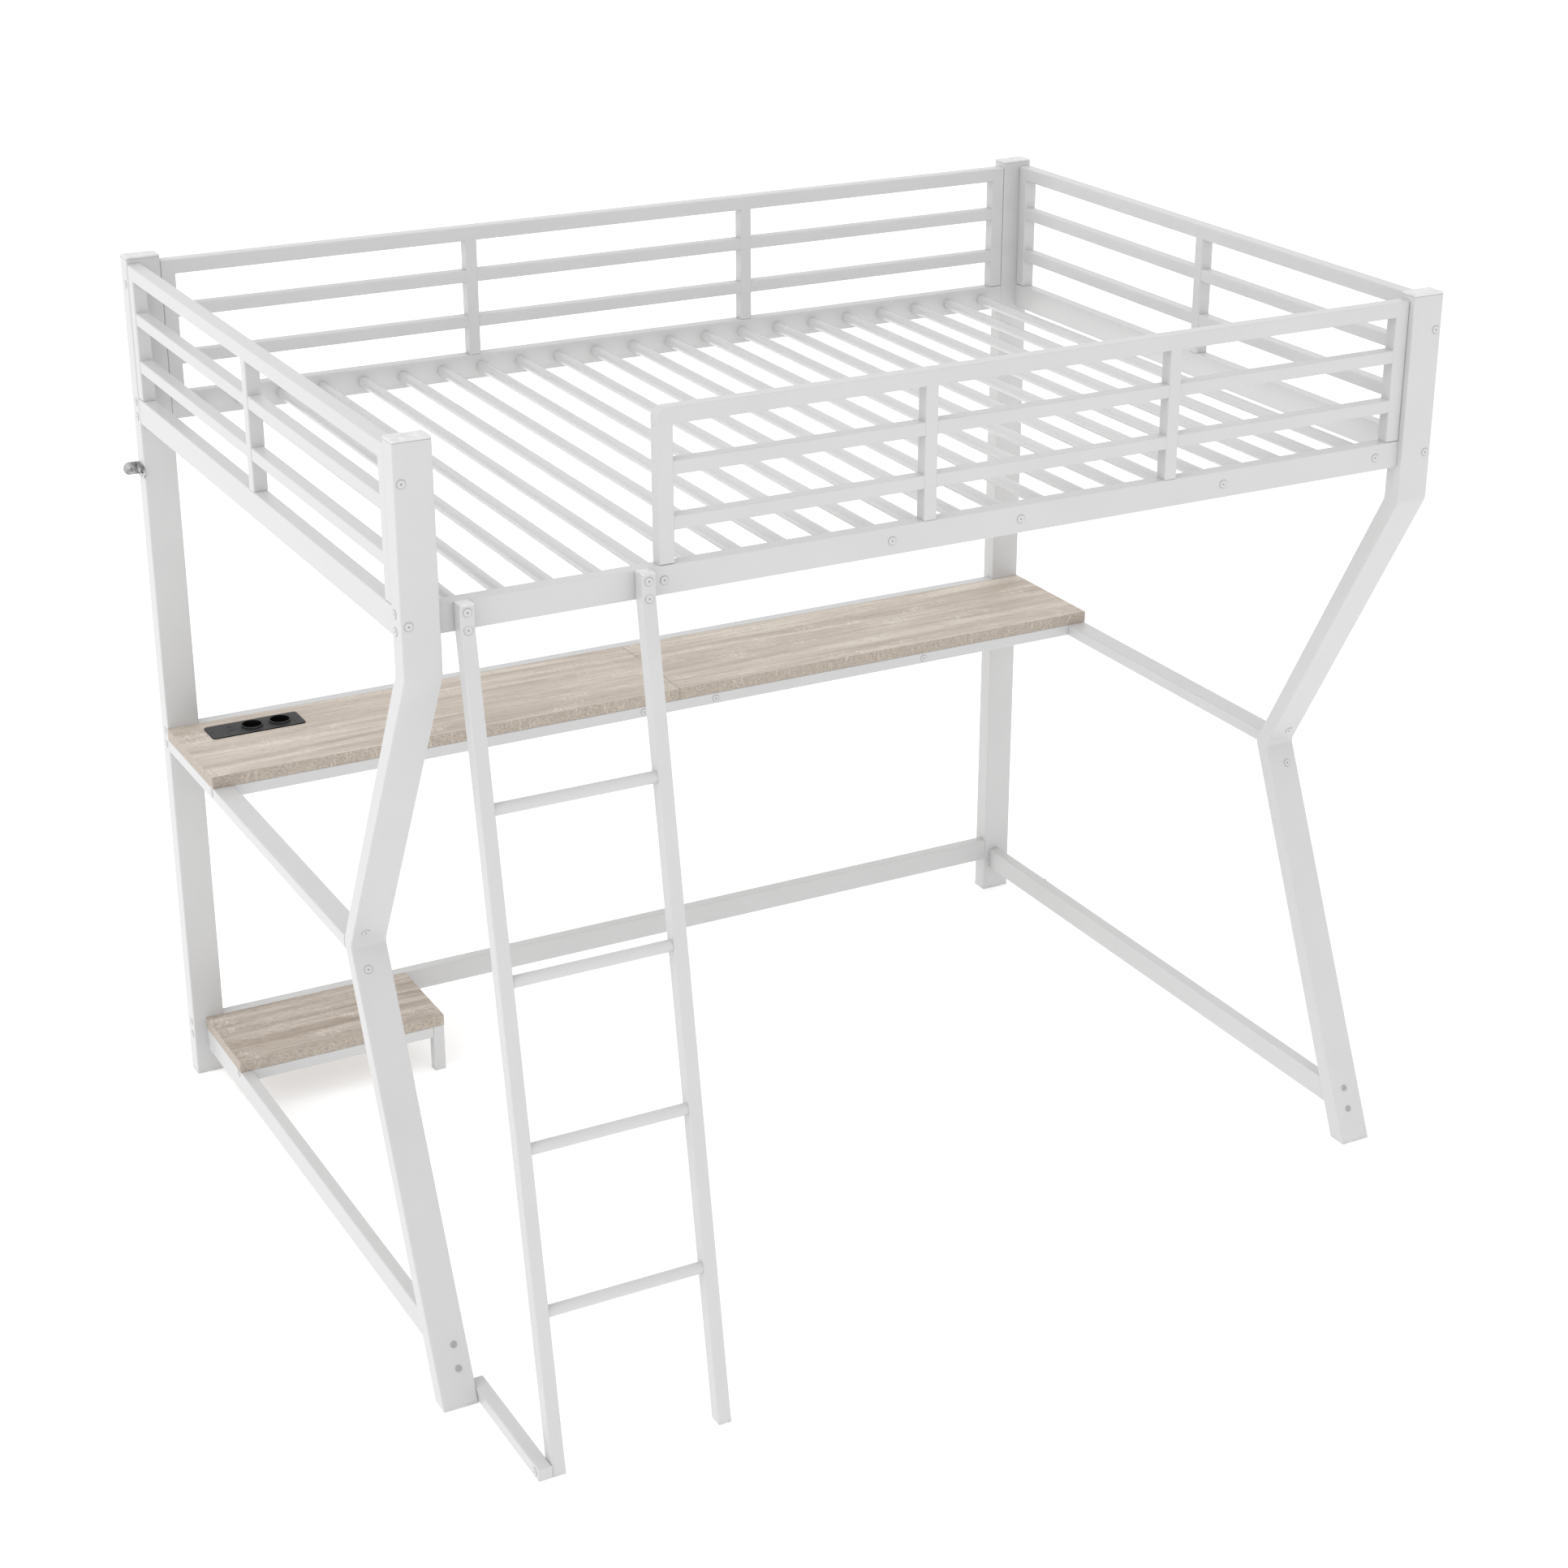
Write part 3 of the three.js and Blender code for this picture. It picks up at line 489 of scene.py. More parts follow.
@dataclass(frozen=True)
class OakLaminate:
    """Greige oak print: long fine streaks, soft darker bands and short pale flecks across the grain."""

    name: str
    seed: float
    seed_shares: Triple = (1.0, 0.7, 0.3)
    pale: Triple = (216.0, 206.0, 195.0)
    middle: Triple = (201.0, 190.0, 178.0)
    dark: Triple = (166.0, 151.0, 137.0)
    line: Triple = (154.0, 139.0, 125.0)
    fleck: Triple = (236.0, 230.0, 222.0)
    edge_tone: Triple = (188.0, 177.0, 165.0)
    edge_dark: Triple = (150.0, 138.0, 126.0)
    outline: Triple = (128.0, 112.0, 98.0)
    bands: Grain = Grain((1.6, 34.0, 34.0), 5.0, 0.6, 0.5)
    band_contrast: float = 0.13
    streaks: Grain = Grain((4.5, 240.0, 240.0), 4.0, 0.65, 0.3)
    streak_range: Span = (0.40, 0.54)
    streak_mix: float = 0.62
    line_range: Span = (0.55, 0.68)
    line_strength: float = 0.75
    pores: Grain = Grain((60.0, 700.0, 700.0), 3.0, 0.7)
    pore_range: Span = (0.52, 0.68)
    pore_relief: Span = (0.5, 0.72)
    pore_depth: float = 0.10 * MM
    bump_strength: float = 0.22
    marks: Grain = Grain((480.0, 52.0, 52.0), 2.0, 0.6, 0.9)
    mark_range: Span = (0.52, 0.60)
    clusters: Grain = Grain((9.0, 20.0, 20.0))
    cluster_range: Span = (0.54, 0.66)
    fleck_strength: float = 0.5
    side_pores: Grain = Grain((160.0, 160.0, 620.0), 4.0, 0.7)
    side_pore_range: Span = (0.38, 0.62)
    side_flecks: Grain = Grain((240.0, 240.0, 45.0))
    side_fleck_range: Span = (0.58, 0.72)
    side_fleck_strength: float = 0.5
    side_range: Span = (0.8, 0.5)
    roughness: float = 0.52
    roughness_spread: float = 0.07
    edge_radius: float = 0.9 * MM
    edge_strength: float = 0.55

    def build(self) -> bpy.types.Material:
        """Make the material.

        Returns:
            The finished material.
        """
        recipe = Recipe(self.name)
        first, second, third = (self.seed * share for share in self.seed_shares)
        shift = (first, second, third)
        bands = self.bands.draw(recipe, shift)
        streaks = self.streaks.draw(recipe, shift)
        pores = self.pores.draw(recipe, shift)
        tone = recipe.remap(bands, 0.5 - self.band_contrast, 0.5 + self.band_contrast)
        base = recipe.blend(tone, colour(*self.dark), colour(*self.pale))
        mixed = recipe.maths("MULTIPLY", recipe.remap(streaks, *self.streak_range), self.streak_mix)
        grained = recipe.blend(mixed, base, colour(*self.middle))
        fine = recipe.remap(streaks, *self.line_range)
        broken = recipe.maths("MAXIMUM", fine, recipe.remap(pores, *self.pore_range))
        strength = recipe.maths("MULTIPLY", broken, self.line_strength)
        pored = recipe.blend(strength, grained, colour(*self.line))
        flecked = recipe.blend(self._flecks(recipe, shift), pored, colour(*self.fleck))
        sided = recipe.blend(self._sides(recipe), flecked, self._banding(recipe, shift))
        # Darker along every edge, towards the outline colour.
        darker_edges = recipe.maths("MULTIPLY", recipe.edge(self.edge_radius), self.edge_strength)
        edged = recipe.blend(darker_edges, sided, colour(*self.outline))
        recipe.link(edged, recipe.shader.inputs["Base Color"])
        recipe.roughen(streaks, self.roughness, -self.roughness_spread)
        relief = recipe.remap(streaks, *MOST_OF_NOISE)
        height = recipe.maths("SUBTRACT", relief, recipe.remap(pores, *self.pore_relief))
        recipe.bump(height, self.bump_strength, self.pore_depth)
        return recipe.material

    def _flecks(self, recipe: Recipe, shift: Triple) -> bpy.types.NodeSocket:
        """Clusters of short pale lines that cross the grain.

        Args:
            recipe: The material being made.
            shift: The board's own offset in the print.

        Returns:
            How strongly the fleck colour shows.
        """
        lines = recipe.remap(self.marks.draw(recipe, shift), *self.mark_range)
        patches = recipe.remap(self.clusters.draw(recipe, shift), *self.cluster_range)
        return recipe.maths("MULTIPLY", recipe.maths("MULTIPLY", lines, patches), self.fleck_strength)

    def _banding(self, recipe: Recipe, shift: Triple) -> bpy.types.NodeSocket:
        """The print of the strip on the board's sides: darker, with upright flecks and pores.

        Args:
            recipe: The material being made.
            shift: The board's own offset in the print.

        Returns:
            The side strip's colour.
        """
        pores = recipe.remap(self.side_pores.draw(recipe, shift), *self.side_pore_range)
        ground = recipe.blend(pores, colour(*self.edge_dark), colour(*self.edge_tone))
        upright = recipe.remap(self.side_flecks.draw(recipe, shift), *self.side_fleck_range)
        strength = recipe.maths("MULTIPLY", upright, self.side_fleck_strength)
        return recipe.blend(strength, ground, colour(*self.pale))

    def _sides(self, recipe: Recipe) -> bpy.types.NodeSocket:
        """Where the board's upright sides are.

        Args:
            recipe: The material being made.

        Returns:
            1 on upright faces and 0 on level ones.
        """
        parts = recipe.add("ShaderNodeSeparateXYZ")
        facing_node = recipe.add("ShaderNodeNewGeometry")
        recipe.link(facing_node.outputs["Normal"], parts.inputs["Vector"])
        return recipe.remap(recipe.maths("ABSOLUTE", parts.outputs["Z"], 0.0), *self.side_range)


@dataclass(frozen=True)
class StudioFloor:
    """Plain seamless light-table floor, almost white, with a trace of mottling."""

    name: str = "studio_floor"
    level: float = 236.0
    level_spread: float = 1.0
    mottle_scale: float = 1.5
    mottle_detail: float = 3.0
    roughness: float = 0.9
    specular: float = 0.1
    glow: float = 0.34

    def build(self) -> bpy.types.Material:
        """Make the material.

        Returns:
            The finished material.
        """
        recipe = Recipe(self.name)
        mottle = recipe.noise(recipe.place(), self.mottle_scale, self.mottle_detail)
        darker, lighter = grey(self.level - self.level_spread), grey(self.level + self.level_spread)
        tone = recipe.blend(recipe.remap(mottle, *MOST_OF_NOISE), darker, lighter)
        recipe.link(tone, recipe.shader.inputs["Base Color"])
        recipe.set_even(Roughness=self.roughness, Specular_IOR_Level=self.specular,
                        Emission_Color=grey(FULL_LEVEL), Emission_Strength=self.glow)
        return recipe.material


class Finish(Enum):
    """Every finish of the bed apart from the boards' print."""

    # Edge levels below that are darker than a finish's level are painted shade along edges; lighter ones are
    # painted highlights.
    PAINT = PowderCoat("white_powder_coat")
    SLAT_PAINT = PowderCoat("slat_powder_coat", level=196.0, roughness=0.26, roughness_spread=0.02,
                            coat=0.4, painted_edge_level=None, grain_strength=0.06)
    BOLT_PAINT = PowderCoat("bolt_head_paint", level=201.0, painted_edge_level=176.0, edge_radius=0.5 * MM,
                            roughness=0.3)
    # Painted shade: the low bolts are darker all over, and darker still along their edges, for the shade
    # they sit in on the legs.
    LOW_BOLT = PowderCoat("low_bolt_head_painted_shade", level=168.0, painted_edge_level=95.0, edge_radius=0.5 * MM,
                          roughness=0.35)
    BOLT_SEAT = MouldedPlastic("bolt_shadow_line_and_recess_shade", 140.0, 128.0, roughness=0.6)
    CAP_PLASTIC = MouldedPlastic("white_cap_plastic", 214.0, 206.0, grain_strength=0.1)
    CAP_SEAM = MouldedPlastic("cap_painted_shadow_line", 170.0, 160.0, roughness=0.6)
    FOOT_PLASTIC = MouldedPlastic("white_foot_plastic", 196.0, 180.0)
    BOARD_SEAM = MouldedPlastic("board_joint_shadow_line", 88.0, 80.0, roughness=0.7)
    # The plate's lighter edge level is a painted highlight along its rims.
    PLATE = MouldedPlastic("socket_plate_plastic", 46.0, 84.0, roughness=0.5, specular=0.25,
                           edge_radius=0.8 * MM)
    # Dark plastic of the socket wells, also used as painted shade in the strip's seams, its port openings
    # and along its flange.
    WELL = MouldedPlastic("socket_well_plastic", 14.0, 10.0, specular=0.2)
    SCREW = MouldedPlastic("dark_screw_finish", 34.0, 30.0, roughness=0.4, specular=0.3)
    # The port lips' lighter edge level is a painted highlight along their edges.
    PORT_LIP = MouldedPlastic("port_lip_finish", 60.0, 92.0, roughness=0.45, specular=0.3)
    PLATING = Plated("bright_plating")

    @cache
    def material(self) -> bpy.types.Material:
        """The finish's material, made once and then shared."""
        return self.value.build()


# ---- mesh tools


@contextmanager
def new_piece(name: str, finish: Finish, slot: Slot) -> Iterator[bmesh.types.BMesh]:
    """Give an empty mesh to fill, then dress it and fix it to the frame.

    Args:
        name: The piece's name.
        finish: The piece's finish.
        slot: The record's slot that the finish belongs to; not used.

    Yields:
        The mesh to fill.
    """
    shape = bmesh.new()
    yield shape
    bmesh.ops.recalc_face_normals(shape, faces=shape.faces)
    mesh = bpy.data.meshes.new(name)
    shape.to_mesh(mesh)
    shape.free()
    mesh.materials.append(finish.material())
    mesh.shade_smooth()
    mesh.set_sharp_from_angle(angle=math.radians(PIECE_SMOOTH_ANGLE))
    piece = bpy.data.objects.new(name, mesh)
    bpy.context.scene.collection.objects.link(piece)
    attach(piece, ROOT)
    LOG.info("built %s with %d faces", name, len(mesh.polygons))


def circle(place: Matrix, radius: float, height: float, steps: int) -> list[Vector]:
    """A circle around a placement's Z axis.

    Args:
        place: The placement.
        radius: The circle's radius. At 0, one point on the axis stands for it.
        height: How far along the axis it lies.
        steps: How many points a whole circle has.

    Returns:
        Its points in order.
    """
    angles = [math.tau * step / steps for step in range(steps if radius else 1)]
    return [place @ Vector((radius * math.cos(a), radius * math.sin(a), height)) for a in angles]


def turn_profile(shape: bmesh.types.BMesh, profile: list[Span], place: Matrix, steps: int) -> None:
    """Turn a profile about its own axis into a closed solid.

    Args:
        shape: The mesh to add to.
        profile: Radius and height pairs, starting and ending on the axis.
        place: Where the solid goes.
        steps: How many steps make the turn.
    """
    rings = [[shape.verts.new(point) for point in circle(place, radius, height, steps)]
             for radius, height in profile]
    for lower, upper in zip(rings, rings[1:]):
        for step in range(steps):
            after = step + 1
            corners = [lower[step % len(lower)], lower[after % len(lower)],
                       upper[after % len(upper)], upper[step % len(upper)]]
            unique = list(dict.fromkeys(corners))
            if len(unique) > 2:
                shape.faces.new(unique)


def facing(point: Vector, outward: Vector) -> Matrix:
    """A placement at a point whose Z axis points outward."""
    return Matrix.Translation(point) @ outward.to_track_quat("Z", "Y").to_matrix().to_4x4()


def centre_of(node: str) -> Vector:
    """The middle of a node's box."""
    low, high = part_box(node)
    return (low + high) / 2


def reach_of(node: str, side: Side) -> float:
    """How far a node's box reaches on one side, as a place along that side's axis."""
    low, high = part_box(node)
    return (high if side.value[side.axis] > 0 else low)[side.axis]


def outline(node: str, level: float, across: Span = EVERYWHERE) -> list[Vector]:
    """The convex outline of a node's vertices at one height.

    Args:
        node: The node's name.
        level: The height, in metres.
        across: Only vertices between these two places along X count.

    Returns:
        The outline's points in the XY plane, in order.
    """
    points = [v.co.to_2d() for v in bpy.data.objects[node].data.vertices
              if abs(v.co.z - level) < SAME_LEVEL and across[0] < v.co.x < across[1]]
    return [points[index] for index in convex_hull_2d(points)]


def ladder_rails() -> dict[str, Span]:
    """The stretch along X that holds each of the ladder's rails."""
    middle = centre_of("ladder").x
    return {"left": (-math.inf, middle), "right": (middle, math.inf)}


def front_face(node: str, height: float) -> tuple[float, Vector]:
    """Where the front of a bent tube is at one height.

    Args:
        node: The tube's node.
        height: The height to look at.

    Returns:
        The face's place along Y and its outward direction.
    """
    mesh = bpy.data.objects[node].data
    found = []
    for face in mesh.polygons:
        corners = [mesh.vertices[index].co for index in face.vertices]
        levels = [corner.z for corner in corners]
        normal = face.normal.copy()
        fronting = normal.y <= -LEAST_FORWARD and abs(normal.x) <= MOST_SIDEWAYS
        if fronting and min(levels) <= height <= max(levels):
            anchor = corners[0]
            found.append((anchor.y - (height - anchor.z) * normal.z / normal.y, normal))
    if not found:
        raise ValueError(f"{node} has no front face at {height}")
    return min(found, key=lambda place: place[0])


def grown(points: list[Vector], distance: float) -> list[Vector]:
    """Move a convex outline outward, or inward for a negative distance.

    Args:
        points: The outline's points in order.
        distance: How far it moves.

    Returns:
        The moved outline.
    """
    centre = sum(points, Vector((0.0, 0.0))) / len(points)
    moved = []
    for before, point, after in zip([points[-1]] + points, points, points[1:] + points[:1]):
        normals = []
        for start, end in ((before, point), (point, after)):
            along = (end - start).normalized()
            normal = Vector((along.y, -along.x))
            normals.append(normal if normal.dot(point - centre) > 0 else -normal)
        joint = normals[0] + normals[1]
        opening = max(1.0 + normals[0].dot(normals[1]), SHARPEST_CORNER)
        moved.append(point + joint * distance / opening)
    return moved


def raised(points: list[Vector], height: float, lean: float = 0.0) -> list[Vector]:
    """Lift a flat outline to a height.

    Args:
        points: The outline in the XY plane.
        height: The height.
        lean: How far it moves along Y for each metre of height.

    Returns:
        The lifted points.
    """
    return [point.to_3d() + Vector((0.0, lean * height, height)) for point in points]


def loft(shape: bmesh.types.BMesh, sections: list[list[Vector]], closed: bool) -> None:
    """Skin a row of sections that have the same number of points.

    Args:
        shape: The mesh to add to.
        sections: The sections' points in order.
        closed: Whether the last section joins the first, as in a ring, or both ends get a face.
    """
    rings = [[shape.verts.new(point) for point in section] for section in sections]
    pairs = list(zip(rings, rings[1:]))
    if closed:
        pairs.append((rings[-1], rings[0]))
    for lower, upper in pairs:
        for step in range(len(lower)):
            after = (step + 1) % len(lower)
            shape.faces.new([lower[step], lower[after], upper[after], upper[step]])
    if not closed:
        shape.faces.new(rings[0])
        shape.faces.new(rings[-1])


def rounded(centre: Vector, size: Span, radius: float, steps: int = 4) -> list[Vector]:
    """A rectangle with round corners.

    Args:
        centre: The middle, in the XY plane.
        size: The width along X and the depth along Y.
        radius: The corners' radius.
        steps: How many steps make a corner.

    Returns:
        The outline's points in order.
    """
    points = []
    for turn, (side_x, side_y) in enumerate(((1, 1), (-1, 1), (-1, -1), (1, -1))):
        middle = Vector((side_x * (size[0] / 2 - radius), side_y * (size[1] / 2 - radius)))
        for step in range(steps + 1):
            angle = math.pi / 2 * (turn + step / steps)
            points.append(centre + middle + radius * Vector((math.cos(angle), math.sin(angle))))
    return points


def band(shape: bmesh.types.BMesh, points: list[Vector], offsets: Span, heights: Span,
         lean: float = 0.0) -> None:
    """A thin closed ring around an outline.

    Args:
        shape: The mesh to add to.
        points: The outline in the XY plane.
        offsets: How far the ring's outside and inside lie from the outline.
        heights: Its lower and upper heights.
        lean: How far it moves along Y for each metre of height.
    """
    outside, inside = offsets
    bottom, top = heights
    corners = [(outside, bottom), (outside, top), (inside, top), (inside, bottom)]
    loft(shape, [raised(grown(points, offset), z, lean) for offset, z in corners], closed=True)


def pad(shape: bmesh.types.BMesh, points: list[Vector], bottom: float, top: float,
        rounding: float) -> None:
    """A flat pad with a rounded top edge.

    Args:
        shape: The mesh to add to.
        points: The pad's outline.
        bottom: Its lower face's height.
        top: Its upper face's height.
        rounding: The top edge's radius.
    """
    shoulder = rounding * (1 - math.sqrt(0.5))
    levels = [(0.0, bottom), (0.0, top - rounding), (-shoulder, top - shoulder), (-rounding, top)]
    loft(shape, [raised(grown(points, inset), z) for inset, z in levels], closed=False)


# ---- fasteners


@dataclass
class BoltHeads:
    """Low round bolt heads with a ring groove and a round recess, sunk a little into the tube's face."""

    finish: Finish
    slot: Slot = Slot.FRAME
    diameter: float = 15.0 * MM
    height: float = 1.3 * MM
    rounding: float = 0.5 * MM
    shoulder: float = 0.3
    sink: float = 0.2 * MM
    recess_width: float = 5.0 * MM
    recess_depth: float = 0.9 * MM
    recess_taper: float = 0.92
    groove_width: float = 0.5 * MM
    groove_depth: float = 0.35 * MM
    groove_inset: float = 1.6 * MM
    steps: int = 36

    def build(self, name: str, places: list[Place]) -> None:
        """Build one group of identical heads.

        Args:
            name: The group's name.
            places: Where each head sits and which way it faces.
        """
        with new_piece(name, self.finish, self.slot) as shape:
            for point, outward in places:
                turn_profile(shape, self._profile(), facing(point, outward), self.steps)

    def _profile(self) -> list[Span]:
        """The head's outline from its underside to the bottom of its recess.

        Returns:
            Radius and height pairs.
        """
        rim = self.diameter / 2
        groove = rim - self.groove_inset
        well = self.recess_width / 2
        shoulder = self.rounding * self.shoulder
        bottom = self.height - self.recess_depth
        return [
            (0.0, -self.sink), (rim, -self.sink), (rim, self.height - self.rounding),
            (rim - shoulder, self.height - shoulder), (rim - self.rounding, self.height),
            (groove + self.groove_width, self.height),
            (groove + self.groove_width / 2, self.height - self.groove_depth),
            (groove, self.height), (well, self.height), (well * self.recess_taper, bottom), (0.0, bottom),
        ]


@dataclass
class BoltShades:
    """Painted shade at each bolt head: a dark ring as the shadow line around the head, and a dark disc as
    the shade in its recess.
    """

    head_diameter: float
    width: float = 0.6 * MM
    overlap: float = 0.1 * MM
    height: float = 0.15 * MM
    sink: float = 0.2 * MM
    recess_radius: float = 1.2 * MM
    recess_level: float = 0.45 * MM
    steps: int = 36

    def build(self, name: str, places: list[Place]) -> None:
        """Build a flat ring around each head, and a disc in its recess.

        Args:
            name: The piece's name.
            places: Where each head sits and which way it faces.
        """
        inner = self.head_diameter / 2 - self.overlap
        outer = self.head_diameter / 2 + self.width
        corners = [(inner, -self.sink), (outer, -self.sink), (outer, self.height), (inner, self.height)]
        base, top = self.recess_level, self.recess_level + self.height
        disc = [(0.0, base), (self.recess_radius, base), (self.recess_radius, top), (0.0, top)]
        # Dark ring and disc: painted shadow line around the head and painted shade in its recess.
        with new_piece(name, Finish.BOLT_SEAT, Slot.FRAME) as shape:
            for point, outward in places:
                place = facing(point, outward)
                loft(shape, [circle(place, *corner, self.steps) for corner in corners], closed=True)
                turn_profile(shape, disc, place, self.steps)


@dataclass
class Fastenings:
    """Where the bolts go on the frame, worked out from the boxes of the pieces they hold."""

    slat_steps: tuple[int, ...] = (1, 5, 10, 13, 18, 22)
    supports: tuple[int, ...] = (1, 2, 3, 4)
    front_top_drop: float = 67.0 * MM
    front_inset: float = 12.6 * MM
    rear_top_drop: float = 52.0 * MM
    rear_shift: float = -4.0 * MM
    end_depth: float = 27.5 * MM
    pair: Span = (15.0 * MM, -15.0 * MM)
    ladder_drops: Span = (11.0 * MM, 41.0 * MM)
    ladder_rail: float = 26.0 * MM
    knee_inset: float = 24.0 * MM
    knee_heights: Span = (-26.0 * MM, 46.0 * MM)
    desk_brace_depth: float = 11.0 * MM
    floor_brace_depth: float = 16.0 * MM
    floor_brace_drop: float = 8.0 * MM
    bar_depth: float = 14.0 * MM
    low_heights: Span = (104.6 * MM, 64.3 * MM)
    low_insets: Span = (42.4 * MM, 36.7 * MM)
    low_diameter: float = 13.0 * MM
    low_groove: float = 2.2 * MM

    def build(self) -> None:
        """Build every group of bolts, and the painted shadow lines and recess shade around them."""
        heads = BoltHeads(Finish.BOLT_PAINT)
        groups = {
            "bolts_front_rail": self._rail("bed_rail_front", Side.FRONT),
            "bolts_rear_rail": self._rail("bed_rail_rear", Side.REAR),
            "bolts_front_posts": self._front_posts(),
            "bolts_left_side": self._end_posts(Side.LEFT),
            "bolts_right_side": self._end_posts(Side.RIGHT),
            "bolts_desk_rail": self._desk_rail(),
            "bolts_knees": self._knees(),
            "bolts_ladder": self._ladder(),
            "bolts_braces": self._braces(),
        }
        for name, places in groups.items():
            heads.build(name, places)
        every_place = [place for places in groups.values() for place in places]
        BoltShades(heads.diameter).build("bolt_seats", every_place)
        # The low bolts get the darker finish: painted shade.
        low = BoltHeads(Finish.LOW_BOLT, diameter=self.low_diameter, groove_inset=self.low_groove)
        low.build("bolts_low_legs", self._low_legs())

    def _rail(self, node: str, side: Side) -> list[Place]:
        """Bolts through a long bed rail into the ends of some slats.

        Args:
            node: The rail's node.
            side: The face that the heads sit on.

        Returns:
            Each head's place and direction.
        """
        face = reach_of(node, side)
        slats = [centre_of(f"slat_{number:02d}") for number in self.slat_steps]
        return [side.at(slat.x, face, slat.z) for slat in slats]

    def _front_posts(self) -> list[Place]:
        """Bolts in the front faces of the front legs' upright tops.

        Returns:
            Each head's place and direction.
        """
        face = self._top_front()
        heights = (reach_of("front_leg_left", Side.TOP) - self.front_top_drop, centre_of("bed_rail_front").z)
        across = (reach_of("front_leg_left", Side.LEFT) + self.front_inset,
                  reach_of("front_leg_right", Side.RIGHT) - self.front_inset)
        return [Side.FRONT.at(x, face, height) for height in heights for x in across]

    @staticmethod
    def _top_front() -> float:
        """The place along Y of the front legs' front face at their upright top."""
        floor = reach_of("front_leg_left", Side.TOP) - TOUCHING
        return min(v.co.y for v in bpy.data.objects["front_leg_left"].data.vertices if v.co.z > floor)

    def _end_posts(self, side: Side) -> list[Place]:
        """Bolts in the outer faces of one end's posts, into the end rails and desk rails.

        Args:
            side: Left or right.

        Returns:
            Each head's place and direction.
        """
        name = side.name.lower()
        post = f"rear_post_{name}"
        rail = centre_of(f"bed_rail_{name}").z
        rear = centre_of(post).y + self.rear_shift
        front = self._top_front() + self.end_depth
        spots = [(rear, reach_of(post, Side.TOP) - self.rear_top_drop)]
        for level in (rail, centre_of("desk_rail_rear").z, centre_of("floor_rail_rear").z):
            spots += [(rear, level + offset) for offset in self.pair]
        spots += [(front, rail + offset) for offset in self.pair]
        return [side.at(reach_of(post, side), y, z) for y, z in spots]

    def _desk_rail(self) -> list[Place]:
        """Bolts through the desk's front rail into the cross supports.

        Returns:
            Each head's place and direction.
        """
        face = reach_of("desk_rail_front", Side.FRONT)
        height = centre_of("desk_rail_front").z
        across = [centre_of(f"desk_support_{number}").x for number in self.supports]
        return [Side.FRONT.at(x, face, height) for x in across]

    @staticmethod
    def _on_leg(side: Side, inset: float, height: float) -> Place:
        """A place on a front leg's front face.

        Args:
            side: The left or the right leg.
            inset: How far in from the leg's outer face.
            height: How high.

        Returns:
            The place and the face's direction.
        """
        leg = f"front_leg_{side.name.lower()}"
        face, outward = front_face(leg, height)
        return Vector((reach_of(leg, side) - side.vector.x * inset, face, height)), outward

    def _knees(self) -> list[Place]:
        """Bolts in the slanted faces above and below each leg's knee.

        Returns:
            Each head's place and direction.
        """
        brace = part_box("desk_brace_left")[0].z
        return [self._on_leg(side, self.knee_inset, brace + height)
                for side in ENDS for height in self.knee_heights]

    def _low_legs(self) -> list[Place]:
        """The two bolts low on each front leg, painted darker as shade."""
        return [self._on_leg(side, inset, height)
                for side, inset in zip(ENDS, self.low_insets) for height in self.low_heights]

    def _ladder(self) -> list[Place]:
        """Two bolts at the top of each ladder rail.

        Returns:
            Each head's place and direction.
        """
        low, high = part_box("ladder")
        places = []
        for x in (low.x + self.ladder_rail / 2, high.x - self.ladder_rail / 2):
            for drop in self.ladder_drops:
                face, outward = front_face("ladder", high.z - drop)
                places.append((Vector((x, face, high.z - drop)), outward))
        return places

    def _braces(self) -> list[Place]:
        """Bolts in the outer faces of the desk and floor braces and the ladder's floor bar.

        Returns:
            Each head's place and direction.
        """
        desk_y = reach_of("desk_board_left", Side.FRONT) + self.desk_brace_depth
        floor_y = reach_of("shelf_board", Side.FRONT) + self.floor_brace_depth
        places = []
        for side in ENDS:
            desk, floor = (f"{kind}_brace_{side.name.lower()}" for kind in ("desk", "floor"))
            floor_z = reach_of(floor, Side.TOP) - self.floor_brace_drop
            places.append(side.at(reach_of(desk, side), desk_y, centre_of(desk).z))
            places.append(side.at(reach_of(floor, side), floor_y, floor_z))
        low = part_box("ladder_floor_bar")[0]
        bar_z = centre_of("ladder_floor_bar").z
        return places + [Side.LEFT.at(low.x, low.y + self.bar_depth, bar_z)]


# ---- small fittings


@dataclass
class FootSleeves:
    """Thin plastic sleeves whose lips show around the bottom end of every tube on the floor."""

    tubes: tuple[str, ...] = ("rear_post_left", "rear_post_right", "front_leg_left", "front_leg_right",
                              "shelf_leg")
    height: float = 4.5 * MM
    proud: float = 0.25 * MM
    sunk: float = 0.05 * MM
    least_forward: float = 0.9
    least_height: float = 20.0 * MM

    def build(self) -> None:
        """Build one sleeve for each foot."""
        for tube in self.tubes:
            self._sleeve(f"foot_{tube}", tube, EVERYWHERE)
        for name, across in ladder_rails().items():
            self._sleeve(f"foot_ladder_{name}", "ladder", across)

    def _sleeve(self, name: str, node: str, across: Span) -> None:
        """Build one sleeve that follows its tube's slope.

        Args:
            name: The sleeve's name.
            node: The tube's node.
            across: Only the part between these two places along X counts.
        """
        with new_piece(name, Finish.FOOT_PLASTIC, Slot.CAPS) as shape:
            band(shape, outline(node, 0.0, across), (self.proud, -self.sunk), (0.0, self.height),
                 self._lean(node))

    def _lean(self, node: str) -> float:
        """How far the tube leans along Y for each metre of height at its foot.

        Args:
            node: The tube's node.

        Returns:
            The lean.
        """
        mesh = bpy.data.objects[node].data
        for face in mesh.polygons:
            levels = [mesh.vertices[index].co.z for index in face.vertices]
            whole = min(levels) < TOUCHING and max(levels) > self.least_height
            if whole and face.normal.y < -self.least_forward:
                return -face.normal.z / face.normal.y
        return 0.0


